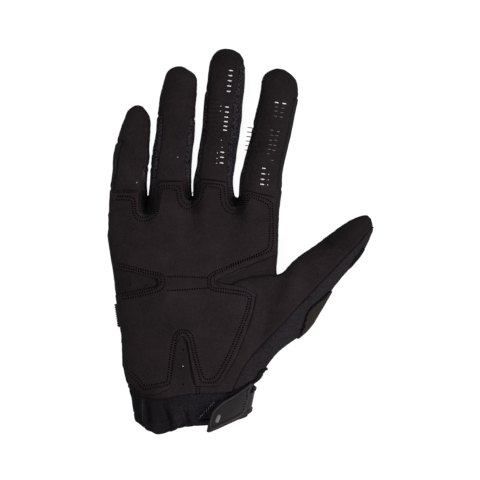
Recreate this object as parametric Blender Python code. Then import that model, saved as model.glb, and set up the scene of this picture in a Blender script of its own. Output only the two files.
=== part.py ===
# Right-hand motocross glove, lying on its back with the palm up.
# Metres, +Z up, fingertips towards +Y, thumb towards +X.
from collections import namedtuple
import math

import bmesh
import bpy
from mathutils import Vector

MM = 0.001

# Driving dimensions: cloth and clearances
WALL = 1.3 * MM
SEAM_GAP = 0.3 * MM
LAYER_GAP = 0.3 * MM
OVERLAY_THICKNESS = 1.0 * MM
PATCH_THICKNESS = 0.9 * MM
STRAP_THICKNESS = 1.3 * MM
STRAP_RIM = 0.6 * MM
BINDING_THICKNESS = 1.0 * MM
BINDING_WIDTH = 2.6 * MM
GUARD_THICKNESS = 0.8 * MM
RIB_HEIGHT = 0.6 * MM

# Driving dimensions: palm and wrist
PALM_WIDTH = 92.4 * MM
PALM_LENGTH = 109.5 * MM
PALM_THICKNESS = 30.0 * MM
PALM_CENTRE_X = -25.0 * MM
KNUCKLE_Y = 24.0 * MM
PALM_ROUNDNESS = 3.0
BACK_FLATNESS = 1.15
STRAP_ROOM = 3.2 * MM

# Driving dimensions: fingers, each as length, width, thickness and lean to the thumb side
LITTLE_LENGTH = 50.6 * MM
LITTLE_WIDTH = 20.4 * MM
LITTLE_THICKNESS = 15.5 * MM
LITTLE_LEAN = math.radians(5.4)
RING_LENGTH = 71.5 * MM
RING_WIDTH = 22.0 * MM
RING_THICKNESS = 17.0 * MM
RING_LEAN = math.radians(4.8)
MIDDLE_LENGTH = 81.4 * MM
MIDDLE_WIDTH = 21.5 * MM
MIDDLE_THICKNESS = 17.5 * MM
MIDDLE_LEAN = math.radians(5.9)
INDEX_LENGTH = 71.0 * MM
INDEX_WIDTH = 22.0 * MM
INDEX_THICKNESS = 17.5 * MM
INDEX_LEAN = math.radians(10.2)
FINGER_ROUNDNESS = 2.4
BACK_SEAM = 0.14

# Driving dimensions: thumb
THUMB_LENGTH = 83.8 * MM
THUMB_WIDTH = 24.2 * MM
THUMB_THICKNESS = 19.0 * MM
THUMB_LEAN = math.radians(43.0)
THUMB_SEAM_OUT = 0.236
THUMB_EDGE_INSET = 0.06

# Finger crotches and the suede's edge, as shares of the palm's width from its outer side
CROTCHES = (0.223, 0.488, 0.750)
EDGE_INSET = 0.03
COLUMNS_PER_FINGER = 4
SIDE_POINTS = 3
THUMB_PANEL_COLUMN = 12

# Rows across the hand. left_up and right_up are heights above the wrist at the two sides,
# drop is how far the row sags between them: shares of the palm's length. left and right are
# half widths, shares of the palm's width. thick is a share of the palm's thickness, and low
# is the share of the strap's room that the row is raised off the ground.
PalmRow = namedtuple("PalmRow", "left_up right_up drop left right thick low")
PALM_ROWS = (
    PalmRow(1.000, 0.985, 0.000, 0.507, 0.512, 0.74, 0.0),
    PalmRow(0.890, 0.890, 0.000, 0.511, 0.501, 0.82, 0.0),
    PalmRow(0.790, 0.790, 0.000, 0.514, 0.497, 0.90, 0.0),
    PalmRow(0.695, 0.695, 0.000, 0.499, 0.494, 0.96, 0.0),
    PalmRow(0.600, 0.600, 0.000, 0.481, 0.490, 1.00, 0.0),
    PalmRow(0.487, 0.500, 0.008, 0.466, 0.470, 1.03, 0.0),
    PalmRow(0.377, 0.407, 0.018, 0.447, 0.452, 1.05, 0.0),
    PalmRow(0.260, 0.310, 0.034, 0.431, 0.432, 1.06, 0.1),
    PalmRow(0.146, 0.216, 0.056, 0.426, 0.405, 1.05, 0.4),
    PalmRow(0.035, 0.120, 0.088, 0.388, 0.405, 1.05, 0.8),
    PalmRow(-0.020, 0.055, 0.088, 0.371, 0.350, 1.06, 1.0),
    PalmRow(-0.070, -0.015, 0.074, 0.362, 0.330, 1.10, 1.0),
    PalmRow(-0.108, -0.098, 0.030, 0.352, 0.315, 1.14, 1.0),
)
THUMB_TOP_ROW = 4
WRIST_ROW = 9
# The hem hangs lower under the little finger than under the thumb.
HEM_SAG = 0.046
HEM_SAG_AT = 0.20
HEM_SAG_WIDTH = 0.16

# Where each crotch sits on the knuckle row: how far the palm-side corner lies below it and
# the cloth between the fingers rises above it, as shares of the palm's length.
Crotch = namedtuple("Crotch", "front_drop middle_rise")
CROTCH_SHAPES = (Crotch(0.080, -0.018), Crotch(0.030, -0.014), Crotch(0.048, -0.034))
CROTCH_FRONT_HEIGHT = 0.42
CROTCH_BACK_HEIGHT = 0.62
CROTCH_UPPER_RISE = 0.45
CROTCH_LOWER_RISE = 0.6
# How far the rows below the knuckles dip under each crotch, as a share of their height.
VALLEY_DEPTHS = (0.16, 0.05)

# Sections of each finger. along is a share of its length; left and right are half widths
# and seam_left and seam_right are how far the suede stops short of them, all shares of its
# width; thick and lift are shares of its thickness.
Section = namedtuple("Section", "along left right seam_left seam_right thick lift")
LITTLE_SECTIONS = (
    Section(0.14, 0.52, 0.47, 0.10, 0.12, 1.08, 0.00),
    Section(0.28, 0.51, 0.44, 0.13, 0.12, 1.02, 0.02),
    Section(0.42, 0.53, 0.46, 0.14, 0.09, 1.00, 0.05),
    Section(0.54, 0.49, 0.42, 0.16, 0.07, 0.98, 0.09),
    Section(0.64, 0.42, 0.42, 0.17, 0.07, 0.95, 0.14),
    Section(0.75, 0.38, 0.41, 0.12, 0.07, 0.90, 0.20),
    Section(0.85, 0.29, 0.39, 0.08, 0.07, 0.80, 0.28),
    Section(0.92, 0.25, 0.30, 0.06, 0.06, 0.66, 0.37),
    Section(0.975, 0.11, 0.18, 0.03, 0.03, 0.40, 0.50),
)
RING_SECTIONS = (
    Section(0.10, 0.55, 0.50, 0.12, 0.09, 1.08, 0.00),
    Section(0.20, 0.55, 0.48, 0.15, 0.11, 1.03, 0.01),
    Section(0.32, 0.55, 0.46, 0.18, 0.16, 1.00, 0.03),
    Section(0.45, 0.50, 0.48, 0.16, 0.14, 1.00, 0.06),
    Section(0.56, 0.50, 0.47, 0.14, 0.12, 0.98, 0.10),
    Section(0.66, 0.48, 0.44, 0.12, 0.10, 0.95, 0.15),
    Section(0.77, 0.46, 0.44, 0.10, 0.09, 0.90, 0.20),
    Section(0.87, 0.40, 0.43, 0.08, 0.08, 0.82, 0.27),
    Section(0.94, 0.35, 0.38, 0.06, 0.06, 0.68, 0.36),
    Section(0.98, 0.25, 0.19, 0.03, 0.03, 0.42, 0.48),
)
MIDDLE_SECTIONS = (
    Section(0.09, 0.61, 0.42, 0.08, 0.12, 1.08, 0.00),
    Section(0.18, 0.56, 0.42, 0.08, 0.15, 1.03, 0.01),
    Section(0.29, 0.56, 0.43, 0.08, 0.22, 1.00, 0.03),
    Section(0.42, 0.52, 0.45, 0.08, 0.22, 1.00, 0.06),
    Section(0.54, 0.53, 0.47, 0.08, 0.22, 0.98, 0.10),
    Section(0.65, 0.54, 0.45, 0.08, 0.25, 0.95, 0.14),
    Section(0.76, 0.50, 0.46, 0.08, 0.17, 0.90, 0.19),
    Section(0.87, 0.50, 0.42, 0.08, 0.13, 0.82, 0.26),
    Section(0.94, 0.43, 0.35, 0.06, 0.08, 0.68, 0.35),
    Section(0.98, 0.33, 0.21, 0.03, 0.03, 0.42, 0.47),
)
INDEX_SECTIONS = (
    Section(0.09, 0.56, 0.53, 0.05, 0.10, 1.08, 0.00),
    Section(0.18, 0.54, 0.48, 0.05, 0.08, 1.03, 0.01),
    Section(0.29, 0.52, 0.48, 0.05, 0.08, 1.00, 0.03),
    Section(0.42, 0.48, 0.50, 0.06, 0.08, 1.00, 0.06),
    Section(0.54, 0.46, 0.52, 0.06, 0.08, 0.98, 0.10),
    Section(0.65, 0.45, 0.52, 0.11, 0.09, 0.95, 0.14),
    Section(0.76, 0.42, 0.53, 0.10, 0.09, 0.90, 0.19),
    Section(0.87, 0.44, 0.48, 0.08, 0.08, 0.82, 0.26),
    Section(0.94, 0.40, 0.38, 0.06, 0.06, 0.68, 0.35),
    Section(0.98, 0.25, 0.20, 0.03, 0.03, 0.42, 0.47),
)

Finger = namedtuple("Finger", "name length width thickness lean sections")
FINGERS = (
    Finger("little", LITTLE_LENGTH, LITTLE_WIDTH, LITTLE_THICKNESS, LITTLE_LEAN, LITTLE_SECTIONS),
    Finger("ring", RING_LENGTH, RING_WIDTH, RING_THICKNESS, RING_LEAN, RING_SECTIONS),
    Finger("middle", MIDDLE_LENGTH, MIDDLE_WIDTH, MIDDLE_THICKNESS, MIDDLE_LEAN, MIDDLE_SECTIONS),
    Finger("index", INDEX_LENGTH, INDEX_WIDTH, INDEX_THICKNESS, INDEX_LEAN, INDEX_SECTIONS),
)

# Sections of the thumb. Each one runs from its inner end, on the finger side, to its outer
# end, both given along the thumb (shares of its length) and out from its axis (shares of
# its width). thick and lift are shares of its thickness.
ThumbSection = namedtuple("ThumbSection", "inner_up inner_out outer_up outer_out thick lift")
THUMB_SECTIONS = (
    ThumbSection(0.35, 0.58, -0.08, 0.58, 1.43, 0.04),
    ThumbSection(0.43, 0.57, 0.07, 0.70, 1.28, 0.08),
    ThumbSection(0.52, 0.51, 0.20, 0.70, 1.17, 0.09),
    ThumbSection(0.62, 0.43, 0.37, 0.57, 1.07, 0.10),
    ThumbSection(0.71, 0.38, 0.485, 0.50, 1.00, 0.11),
    ThumbSection(0.785, 0.33, 0.62, 0.48, 0.94, 0.13),
    ThumbSection(0.86, 0.26, 0.74, 0.46, 0.84, 0.17),
    ThumbSection(0.92, 0.17, 0.84, 0.37, 0.68, 0.24),
    ThumbSection(0.955, 0.08, 0.91, 0.27, 0.44, 0.34),
)
CAP_BULGE = 0.022

# Folds of the wrist band's front: a column of the hand and its height there, as a share of
# the palm's thickness, ridges above zero and creases below.
Fold = namedtuple("Fold", "column height")
CUFF_FOLDS = (Fold(1, 0.030), Fold(2, -0.012), Fold(4, -0.020), Fold(5, -0.045), Fold(6, 0.020),
              Fold(7, -0.040), Fold(8, -0.012))

# Corners of the sewn-on palm overlay, clockwise seen from the palm, from the little finger's
# tab. across and up are shares of the palm's width and length, and fillet is each corner's
# radius as a share of the width.
Corner = namedtuple("Corner", "across up fillet")
FINGER_TAB_CORNERS = (
    Corner(-0.04, 1.023, 0.0), Corner(0.167, 1.023, 0.012),
    Corner(0.167, 0.905, 0.060), Corner(0.292, 0.905, 0.060),
    Corner(0.292, 1.072, 0.012), Corner(0.429, 1.072, 0.012),
    Corner(0.435, 0.975, 0.045), Corner(0.530, 0.975, 0.045),
    Corner(0.539, 1.085, 0.012), Corner(0.690, 1.070, 0.012),
    Corner(0.696, 0.945, 0.048), Corner(0.798, 0.945, 0.048),
    Corner(0.804, 1.025, 0.012), Corner(0.980, 0.992, 0.030),
)
THUMB_NOTCH_CORNERS = (
    Corner(0.980, 0.709, 0.020), Corner(0.759, 0.633, 0.100),
    Corner(0.610, 0.573, 0.012), Corner(0.789, 0.545, 0.150),
    Corner(0.869, 0.512, 0.020),
)
HEEL_CORNERS = (
    Corner(0.836, 0.387, 0.100), Corner(0.747, 0.201, 0.100),
    Corner(0.646, 0.055, 0.015), Corner(0.509, 0.055, 0.015),
    Corner(0.479, 0.176, 0.050), Corner(0.461, 0.276, 0.030),
    Corner(0.426, 0.312, 0.020), Corner(0.396, 0.276, 0.030),
    Corner(0.378, 0.191, 0.050), Corner(0.360, 0.048, 0.015),
    Corner(0.277, 0.013, 0.060), Corner(0.182, 0.018, 0.040),
    Corner(0.092, 0.095, 0.030), Corner(-0.04, 0.095, 0.0),
)
OUTER_NOTCH_CORNERS = (
    Corner(-0.04, 0.495, 0.0), Corner(0.134, 0.520, 0.060),
    Corner(0.289, 0.550, 0.012), Corner(0.286, 0.588, 0.012),
    Corner(0.122, 0.626, 0.060), Corner(-0.04, 0.653, 0.0),
)
OVERLAY_CORNERS = FINGER_TAB_CORNERS + THUMB_NOTCH_CORNERS + HEEL_CORNERS + OUTER_NOTCH_CORNERS
OVERLAY_FINGER_ROWS = 3
FILLET_STEPS = 5
CUTTER_LOW = 0.3
CUTTER_HEIGHT = 1.5

# The hook-and-loop patch: its toothed edge runs between two points, and its plain end lies
# under the strap. Shares of the palm's width and length.
PATCH_TEETH_LOW = Corner(0.527, -0.110, 0.0)
PATCH_TEETH_HIGH = Corner(0.622, -0.025, 0.0)
PATCH_FAR_HIGH = Corner(0.745, -0.015, 0.0)
PATCH_FAR_LOW = Corner(0.745, -0.085, 0.0)
PATCH_TEETH = 8
PATCH_TOOTH_DEPTH = 1.0 * MM

# The strap, from its tab on the palm side round the thumb side to its sewn end on the back.
# column counts round the wrist: 0 to 16 over the front, 17 to 19 down the thumb side and
# 20 to 36 over the back. low and high are its two edges, shares of the palm's length, and
# over_patch is how far it is lifted on to the hook-and-loop patch.
StrapRow = namedtuple("StrapRow", "column low high over_patch")
STRAP_ROWS = (
    StrapRow(10.55, -0.171, -0.130, 1.0),
    StrapRow(10.75, -0.174, -0.098, 1.0),
    StrapRow(11.00, -0.174, -0.072, 1.0),
    StrapRow(12.00, -0.157, -0.038, 1.0),
    StrapRow(13.00, -0.140, -0.017, 1.0),
    StrapRow(14.00, -0.122, 0.002, 0.9),
    StrapRow(15.00, -0.102, 0.020, 0.7),
    StrapRow(16.00, -0.082, 0.040, 0.4),
    StrapRow(17.00, -0.072, 0.051, 0.2),
    StrapRow(18.00, -0.068, 0.056, 0.0),
    StrapRow(19.00, -0.068, 0.056, 0.0),
    StrapRow(20.00, -0.072, 0.053, 0.0),
    StrapRow(21.00, -0.077, 0.048, 0.0),
    StrapRow(22.00, -0.082, 0.043, 0.0),
    StrapRow(23.00, -0.086, 0.039, 0.0),
    StrapRow(24.00, -0.090, 0.035, 0.0),
    StrapRow(25.00, -0.093, 0.031, 0.0),
    StrapRow(26.00, -0.094, 0.028, 0.0),
    StrapRow(27.00, -0.094, 0.026, 0.0),
    StrapRow(27.60, -0.080, 0.012, 0.0),
)
STRAP_RIM_SHARE = 0.12
STRAP_RIM_SLOPE = 0.04
STRAP_END_ROWS = 2
BINDING_FIRST_COLUMN = 12
BINDING_LAST_COLUMN = 20

# Thumb guard: sections of the thumb that it covers, and the ribbed guard's two ends.
GUARD_FIRST_SECTION = 2
GUARD_LAST_SECTION = 5
RIB_COUNT = 10
RIBS_LOW = 0.347
RIBS_HIGH = 0.462
RIB_COLUMNS = (37, 38, 39)

# Limits on the walls' making: how far a sharp bend may stretch a wall's offset, how sharp a
# panel's corner may be drawn in evenly, and how far beside a column a normal is read.
MOST_STRETCH = 1.5
SHARPEST_FIT = 0.45
BESIDE = 0.3

WRIST_Y = KNUCKLE_Y - PALM_LENGTH
COLUMN_COUNT = COLUMNS_PER_FINGER * len(FINGERS)
LAST_ROW = len(PALM_ROWS) - 1


def across_to_x(across):
    """World X of a share of the palm's width, 0 on the outer side and 1 on the thumb side."""
    return PALM_CENTRE_X + (across - 0.5) * PALM_WIDTH


def up_to_y(up):
    """World Y of a share of the palm's length above the wrist."""
    return WRIST_Y + up * PALM_LENGTH


def palm_point(across, up):
    return Vector((across_to_x(across), up_to_y(up), 0.0))


def column_shares():
    """Shares of a row's width at which its columns stand, crotches on every fourth."""
    marks = (EDGE_INSET,) + CROTCHES + (1.0 - EDGE_INSET,)
    shares = []
    for start, end in zip(marks, marks[1:]):
        for step in range(COLUMNS_PER_FINGER):
            shares.append(start + (end - start) * step / COLUMNS_PER_FINGER)
    shares.append(marks[-1])
    return shares


def rounded_height(offset, roundness):
    """Height of a superellipse of unit size at an offset between -1 and 1."""
    return (1.0 - min(abs(offset), 1.0) ** roundness) ** (1.0 / roundness)


def rounded_side(start, end, roundness):
    """Points of a unit superellipse's side between two offsets, top seam to bottom seam."""
    top = math.acos(start ** (roundness / 2.0))
    bottom = math.acos(end ** (roundness / 2.0))
    points = []
    for angle in (0.5 * top, 0.0, -0.5 * bottom):
        out = math.cos(angle) ** (2.0 / roundness)
        height = abs(math.sin(angle)) ** (2.0 / roundness)
        points.append((out, math.copysign(height, angle)))
    return points


class Ring:
    """One closed section of cloth: front seam to seam, two sides and back, as vertices."""

    def __init__(self, front, right, back, left):
        self.front = front
        self.right = right
        self.back = back
        self.left = left

    def around(self):
        """The whole ring in order: front, right side, back and left side."""
        return self.front + self.right + self.back[::-1] + self.left[::-1]

    def right_strip(self):
        return [self.front[-1]] + self.right + [self.back[-1]]

    def left_strip(self):
        return [self.front[0]] + self.left + [self.back[0]]


def row_ring(cage, row):
    """Vertices of one row across the hand."""
    shares = column_shares()
    half_thick = 0.5 * row.thick * PALM_THICKNESS
    low = row.low * STRAP_ROOM
    middle = low + half_thick
    width = row.left + row.right

    def place(share, height):
        across = 0.5 - row.left + share * width
        up = row.left_up + (row.right_up - row.left_up) * share
        up -= row.drop * (1.0 - abs(2.0 * share - 1.0) ** 3)
        if row.left_up < PALM_ROWS[WRIST_ROW].left_up:
            depth = (PALM_ROWS[WRIST_ROW].left_up - row.left_up)
            depth /= PALM_ROWS[WRIST_ROW].left_up - PALM_ROWS[LAST_ROW].left_up
            up -= HEM_SAG * depth * math.exp(-((share - HEM_SAG_AT) / HEM_SAG_WIDTH) ** 2)
        point = palm_point(across, up)
        point.z = max(low, middle + height * half_thick)
        return cage.verts.new(point)

    front = [place(s, rounded_height(2.0 * s - 1.0, PALM_ROUNDNESS)) for s in shares]
    if row.left_up < 0.0:
        for fold in CUFF_FOLDS:
            front[fold.column].co.z += fold.height * PALM_THICKNESS
    back = [
        place(s, -BACK_FLATNESS * rounded_height(2.0 * s - 1.0, PALM_ROUNDNESS))
        for s in shares
    ]
    edge = 1.0 - 2.0 * EDGE_INSET
    side = rounded_side(edge, edge, PALM_ROUNDNESS)
    right = [place(0.5 + 0.5 * out, height) for out, height in side]
    left = [place(0.5 - 0.5 * out, height) for out, height in side]
    return Ring(front, right, back, left)


def shape_crotches(cage, knuckles, rows):
    """Sink the knuckle row between the fingers and add the cloth between them."""
    webs = []
    middle = 0.5 * PALM_ROWS[0].thick * PALM_THICKNESS
    for number, shape in enumerate(CROTCH_SHAPES):
        column = (number + 1) * COLUMNS_PER_FINGER
        front = knuckles.front[column]
        back = knuckles.back[column]
        base_y = front.co.y
        front.co.y -= shape.front_drop * PALM_LENGTH
        front.co.z = middle * (1.0 + CROTCH_FRONT_HEIGHT)
        back.co.z = middle * (1.0 - CROTCH_BACK_HEIGHT)
        rise = shape.middle_rise * PALM_LENGTH
        climb = rise + base_y - front.co.y
        heights = (
            (0.5 * CROTCH_FRONT_HEIGHT, front.co.y + CROTCH_UPPER_RISE * climb),
            (0.0, base_y + rise),
            (-0.5 * CROTCH_BACK_HEIGHT, base_y + CROTCH_LOWER_RISE * rise),
        )
        web = []
        for height, y in heights:
            web.append(cage.verts.new((front.co.x, y, middle * (1.0 + height))))
        webs.append(web)
        for depth, ring in zip(VALLEY_DEPTHS, rows[1:]):
            ring.front[column].co.z -= depth * middle
    return webs


def finger_base(number):
    """Where a finger's axis starts, midway between its crotches on the knuckle row."""
    marks = (0.0,) + CROTCHES + (1.0,)
    middle = 0.5 * (marks[number] + marks[number + 1])
    knuckles = PALM_ROWS[0]
    across = 0.5 - knuckles.left + middle * (knuckles.left + knuckles.right)
    return palm_point(across, knuckles.left_up)


def finger_rings(cage, finger, base):
    """Sections of one finger from its base on the knuckle row to just below its tip."""
    direction = Vector((math.sin(finger.lean), math.cos(finger.lean), 0.0))
    sideways = Vector((direction.y, -direction.x, 0.0))
    rings = []
    for section in finger.sections:
        centre = base + direction * finger.length * section.along
        half_thick = 0.5 * section.thick * finger.thickness
        low = section.lift * finger.thickness
        half_width = 0.5 * (section.left + section.right) * finger.width
        offset = 0.5 * (section.right - section.left) * finger.width

        def place(out, height):
            point = centre + sideways * (offset + out * half_width)
            point.z = max(low, low + half_thick * (1.0 + height))
            return cage.verts.new(point)

        start = -1.0 + section.seam_left * finger.width / half_width
        end = 1.0 - section.seam_right * finger.width / half_width
        under = 1.0 - BACK_SEAM / (0.5 * (section.left + section.right))
        front = []
        back = []
        for step in range(COLUMNS_PER_FINGER + 1):
            share = step / COLUMNS_PER_FINGER
            out = start + (end - start) * share
            front.append(place(out, rounded_height(out, FINGER_ROUNDNESS)))
            out = -under + 2.0 * under * share
            back.append(place(out, -BACK_FLATNESS * rounded_height(out, FINGER_ROUNDNESS)))
        right = [place(o, h) for o, h in rounded_side(end, under, FINGER_ROUNDNESS)]
        left = [place(-o, h) for o, h in rounded_side(-start, under, FINGER_ROUNDNESS)]
        rings.append(Ring(front, right, back, left))
    return rings


def thumb_axis():
    """Origin, direction and outward direction of the thumb."""
    top = PALM_ROWS[THUMB_TOP_ROW]
    wrist = PALM_ROWS[WRIST_ROW]
    inner = palm_point(0.5 + top.right, top.right_up)
    outer = palm_point(0.5 + wrist.right, wrist.right_up)
    origin = inner.lerp(outer, 0.5)
    direction = Vector((math.sin(THUMB_LEAN), math.cos(THUMB_LEAN), 0.0))
    outward = Vector((direction.y, -direction.x, 0.0))
    return origin, direction, outward


def thumb_rings(cage, columns):
    """Sections of the thumb, each from the finger side to the outer side."""
    origin, direction, outward = thumb_axis()
    rings = []
    for section in THUMB_SECTIONS:
        inner = origin + direction * section.inner_up * THUMB_LENGTH
        inner -= outward * section.inner_out * THUMB_WIDTH
        outer = origin + direction * section.outer_up * THUMB_LENGTH
        outer += outward * section.outer_out * THUMB_WIDTH
        half_thick = 0.5 * section.thick * THUMB_THICKNESS
        low = section.lift * THUMB_THICKNESS

        def place(out, height):
            point = inner.lerp(outer, 0.5 + 0.5 * out)
            point.z = max(low, low + half_thick * (1.0 + height))
            return cage.verts.new(point)

        edge = 1.0 - 2.0 * THUMB_EDGE_INSET
        front = []
        back = []
        for step in range(columns):
            out = edge * (2.0 * step / (columns - 1) - 1.0)
            height = rounded_height(out, FINGER_ROUNDNESS)
            front.append(place(out, height))
            back.append(place(out, -BACK_FLATNESS * height))
        side = rounded_side(edge, edge, FINGER_ROUNDNESS)
        right = [place(out, height) for out, height in side]
        left = [place(-out, height) for out, height in side]
        rings.append(Ring(front, right, back, left))
    return rings


def bridge(cage, lower, upper, label, tags, overlaid=None):
    """Quads between two strips of vertices, tagged with the cloth that they belong to."""
    faces = []
    for number in range(len(lower) - 1):
        face = cage.faces.new(
            (lower[number], lower[number + 1], upper[number + 1], upper[number])
        )
        face[tags] = label
        if overlaid:
            face[overlaid] = 1
        faces.append(face)
    return faces


def close_tip(cage, ring, direction, bulge, tags, front_label, back_label):
    """Fill a tip with a grid of quads that bulges along the finger."""
    rows = SIDE_POINTS + 1
    count = len(ring.front) - 1
    left = ring.left_strip()
    right = ring.right_strip()
    grid = []
    for row in range(rows + 1):
        down = row / rows
        line = []
        for column in range(count + 1):
            over = column / count
            if row == 0:
                vert = ring.front[column]
            elif row == rows:
                vert = ring.back[column]
            elif column == 0:
                vert = left[row]
            elif column == count:
                vert = right[row]
            else:
                point = left[row].co.lerp(right[row].co, over)
                point += ring.front[column].co.lerp(ring.back[column].co, down)
                flat = ring.front[0].co.lerp(ring.front[-1].co, over)
                flat = flat.lerp(ring.back[0].co.lerp(ring.back[-1].co, over), down)
                point -= flat
                swell = (1.0 - (2.0 * over - 1.0) ** 2) * (1.0 - (2.0 * down - 1.0) ** 2)
                vert = cage.verts.new(point + direction * bulge * swell)
            line.append(vert)
        grid.append(line)
    for row in range(rows):
        label = front_label if row < rows // 2 else back_label
        bridge(cage, grid[row], grid[row + 1], label, tags)


def build_cage():
    """The glove's whole outer surface as one mesh, open only at the wrist."""
    cage = bmesh.new()
    tags = cage.faces.layers.string.new("cloth")
    overlaid = cage.faces.layers.int.new("overlaid")
    guarded = cage.faces.layers.int.new("guarded")
    rows = [row_ring(cage, row) for row in PALM_ROWS]
    webs = shape_crotches(cage, rows[0], rows)

    for number in range(LAST_ROW):
        upper = rows[number]
        lower = rows[number + 1]
        in_cuff = number >= WRIST_ROW
        beside_thumb = THUMB_TOP_ROW <= number < WRIST_ROW
        split = THUMB_PANEL_COLUMN if beside_thumb else COLUMN_COUNT
        front = b"cuff" if in_cuff else b"palm_panel"
        back = b"cuff" if in_cuff else b"back_panel"
        carrier = None if in_cuff else overlaid
        bridge(cage, lower.front[:split + 1], upper.front[:split + 1], front, tags, carrier)
        bridge(cage, lower.front[split:], upper.front[split:], b"thumb_panel", tags, carrier)
        bridge(cage, upper.back, lower.back, back, tags)
        bridge(cage, upper.left_strip(), lower.left_strip(), back, tags)
        if not beside_thumb:
            bridge(cage, lower.right_strip(), upper.right_strip(), back, tags)

    gussets = (b"gusset_little_ring", b"gusset_ring_middle", b"gusset_middle_index")
    knuckles = rows[0]
    for number, finger in enumerate(FINGERS):
        first = number * COLUMNS_PER_FINGER
        last = first + COLUMNS_PER_FINGER
        left = knuckles.left if number == 0 else webs[number - 1]
        right = knuckles.right if number == len(webs) else webs[number]
        base = Ring(
            knuckles.front[first:last + 1], right, knuckles.back[first:last + 1], left
        )
        rings = [base] + finger_rings(cage, finger, finger_base(number))
        left_label = b"back_panel" if number == 0 else gussets[number - 1]
        right_label = b"back_panel" if number == len(webs) else gussets[number]
        for step, (lower, upper) in enumerate(zip(rings, rings[1:])):
            carrier = overlaid if step < OVERLAY_FINGER_ROWS else None
            bridge(cage, lower.front, upper.front, b"palm_panel", tags, carrier)
            bridge(cage, upper.back, lower.back, b"back_panel", tags)
            bridge(cage, upper.left_strip(), lower.left_strip(), left_label, tags)
            bridge(cage, lower.right_strip(), upper.right_strip(), right_label, tags)
        direction = Vector((math.sin(finger.lean), math.cos(finger.lean), 0.0))
        close_tip(cage, rings[-1], direction, CAP_BULGE * finger.length, tags,
                  b"palm_panel", b"back_panel")

    thumb_rows = rows[THUMB_TOP_ROW:WRIST_ROW + 1]
    base = Ring(
        [ring.front[-1] for ring in thumb_rows],
        thumb_rows[-1].right,
        [ring.back[-1] for ring in thumb_rows],
        thumb_rows[0].right,
    )
    rings = [base] + thumb_rings(cage, len(thumb_rows))
    for lower, upper in zip(rings, rings[1:]):
        bridge(cage, lower.front, upper.front, b"thumb_panel", tags)
        bridge(cage, upper.back, lower.back, b"thumb_side", tags)
        inner = bridge(cage, upper.left_strip(), lower.left_strip(), b"thumb_side", tags)
        for face in inner[:2]:
            face[tags] = b"thumb_panel"
        bridge(cage, lower.right_strip(), upper.right_strip(), b"thumb_side", tags)
    close_tip(cage, rings[-1], thumb_axis()[1], CAP_BULGE * THUMB_LENGTH, tags,
              b"thumb_panel", b"thumb_side")
    mark_thumb_guard(cage, rings, guarded)
    cut_thumb_seam(cage, tags)
    # One set of triangles, so that every layer of cloth follows the same facets.
    bmesh.ops.triangulate(cage, faces=cage.faces[:])
    cage.normal_update()
    return cage, rows


def mark_thumb_guard(cage, rings, guarded):
    """Mark the thumb's outer side, from the front's last column round to the back's."""
    outer_verts = set()
    for ring in rings[GUARD_FIRST_SECTION:GUARD_LAST_SECTION + 1]:
        outer_verts.update(ring.front[-2:] + ring.right + ring.back[-2:])
    for face in cage.faces:
        if outer_verts.issuperset(face.verts):
            face[guarded] = 1


def cut_thumb_seam(cage, tags):
    """Divide the thumb's front along the straight seam beside its axis."""
    origin, direction, outward = thumb_axis()
    seam = origin + outward * THUMB_SEAM_OUT * THUMB_WIDTH
    faces = [face for face in cage.faces if face[tags] == b"thumb_panel"]
    inside = set(faces)
    edges = [edge for edge in cage.edges if inside.intersection(edge.link_faces)]
    verts = [vert for vert in cage.verts if inside.intersection(vert.link_faces)]
    bmesh.ops.bisect_plane(
        cage, geom=faces + edges + verts, dist=0.01 * MM, plane_co=seam, plane_no=outward,
    )
    for face in cage.faces:
        if face[tags] != b"thumb_panel":
            continue
        if (face.calc_center_median() - seam).dot(outward) > 0.0:
            face[tags] = b"thumb_side"


def make_material(name, colour, roughness, metallic=0.0):
    material = bpy.data.materials.new(name)
    material.use_nodes = True
    shader = material.node_tree.nodes["Principled BSDF"]
    shader.inputs["Base Color"].default_value = (*colour, 1.0)
    shader.inputs["Roughness"].default_value = roughness
    shader.inputs["Metallic"].default_value = metallic
    return material


def link_object(name, mesh, collection, material):
    thing = bpy.data.objects.new(name, mesh)
    collection.objects.link(thing)
    if material:
        mesh.materials.append(material)
    mesh.shade_smooth()
    mesh.set_sharp_from_angle(angle=math.radians(40.0))
    return thing


def edge_pull(vert, faces):
    """Direction in the cloth, away from the panel's edge, with its length made even."""
    total = Vector()
    pulls = []
    for edge in vert.link_edges:
        inside = [face for face in edge.link_faces if face in faces]
        if len(inside) != 1:
            continue
        along = (edge.verts[1].co - edge.verts[0].co).normalized()
        normal = inside[0].normal
        pull = normal.cross(along)
        if pull.dot(inside[0].calc_center_median() - edge.verts[0].co) < 0.0:
            pull.negate()
        pulls.append(pull)
        total += pull
    if total.length < 1e-6:
        return Vector()
    total.normalize()
    fit = min(total.dot(pull) for pull in pulls)
    return total / max(fit, SHARPEST_FIT)


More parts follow.
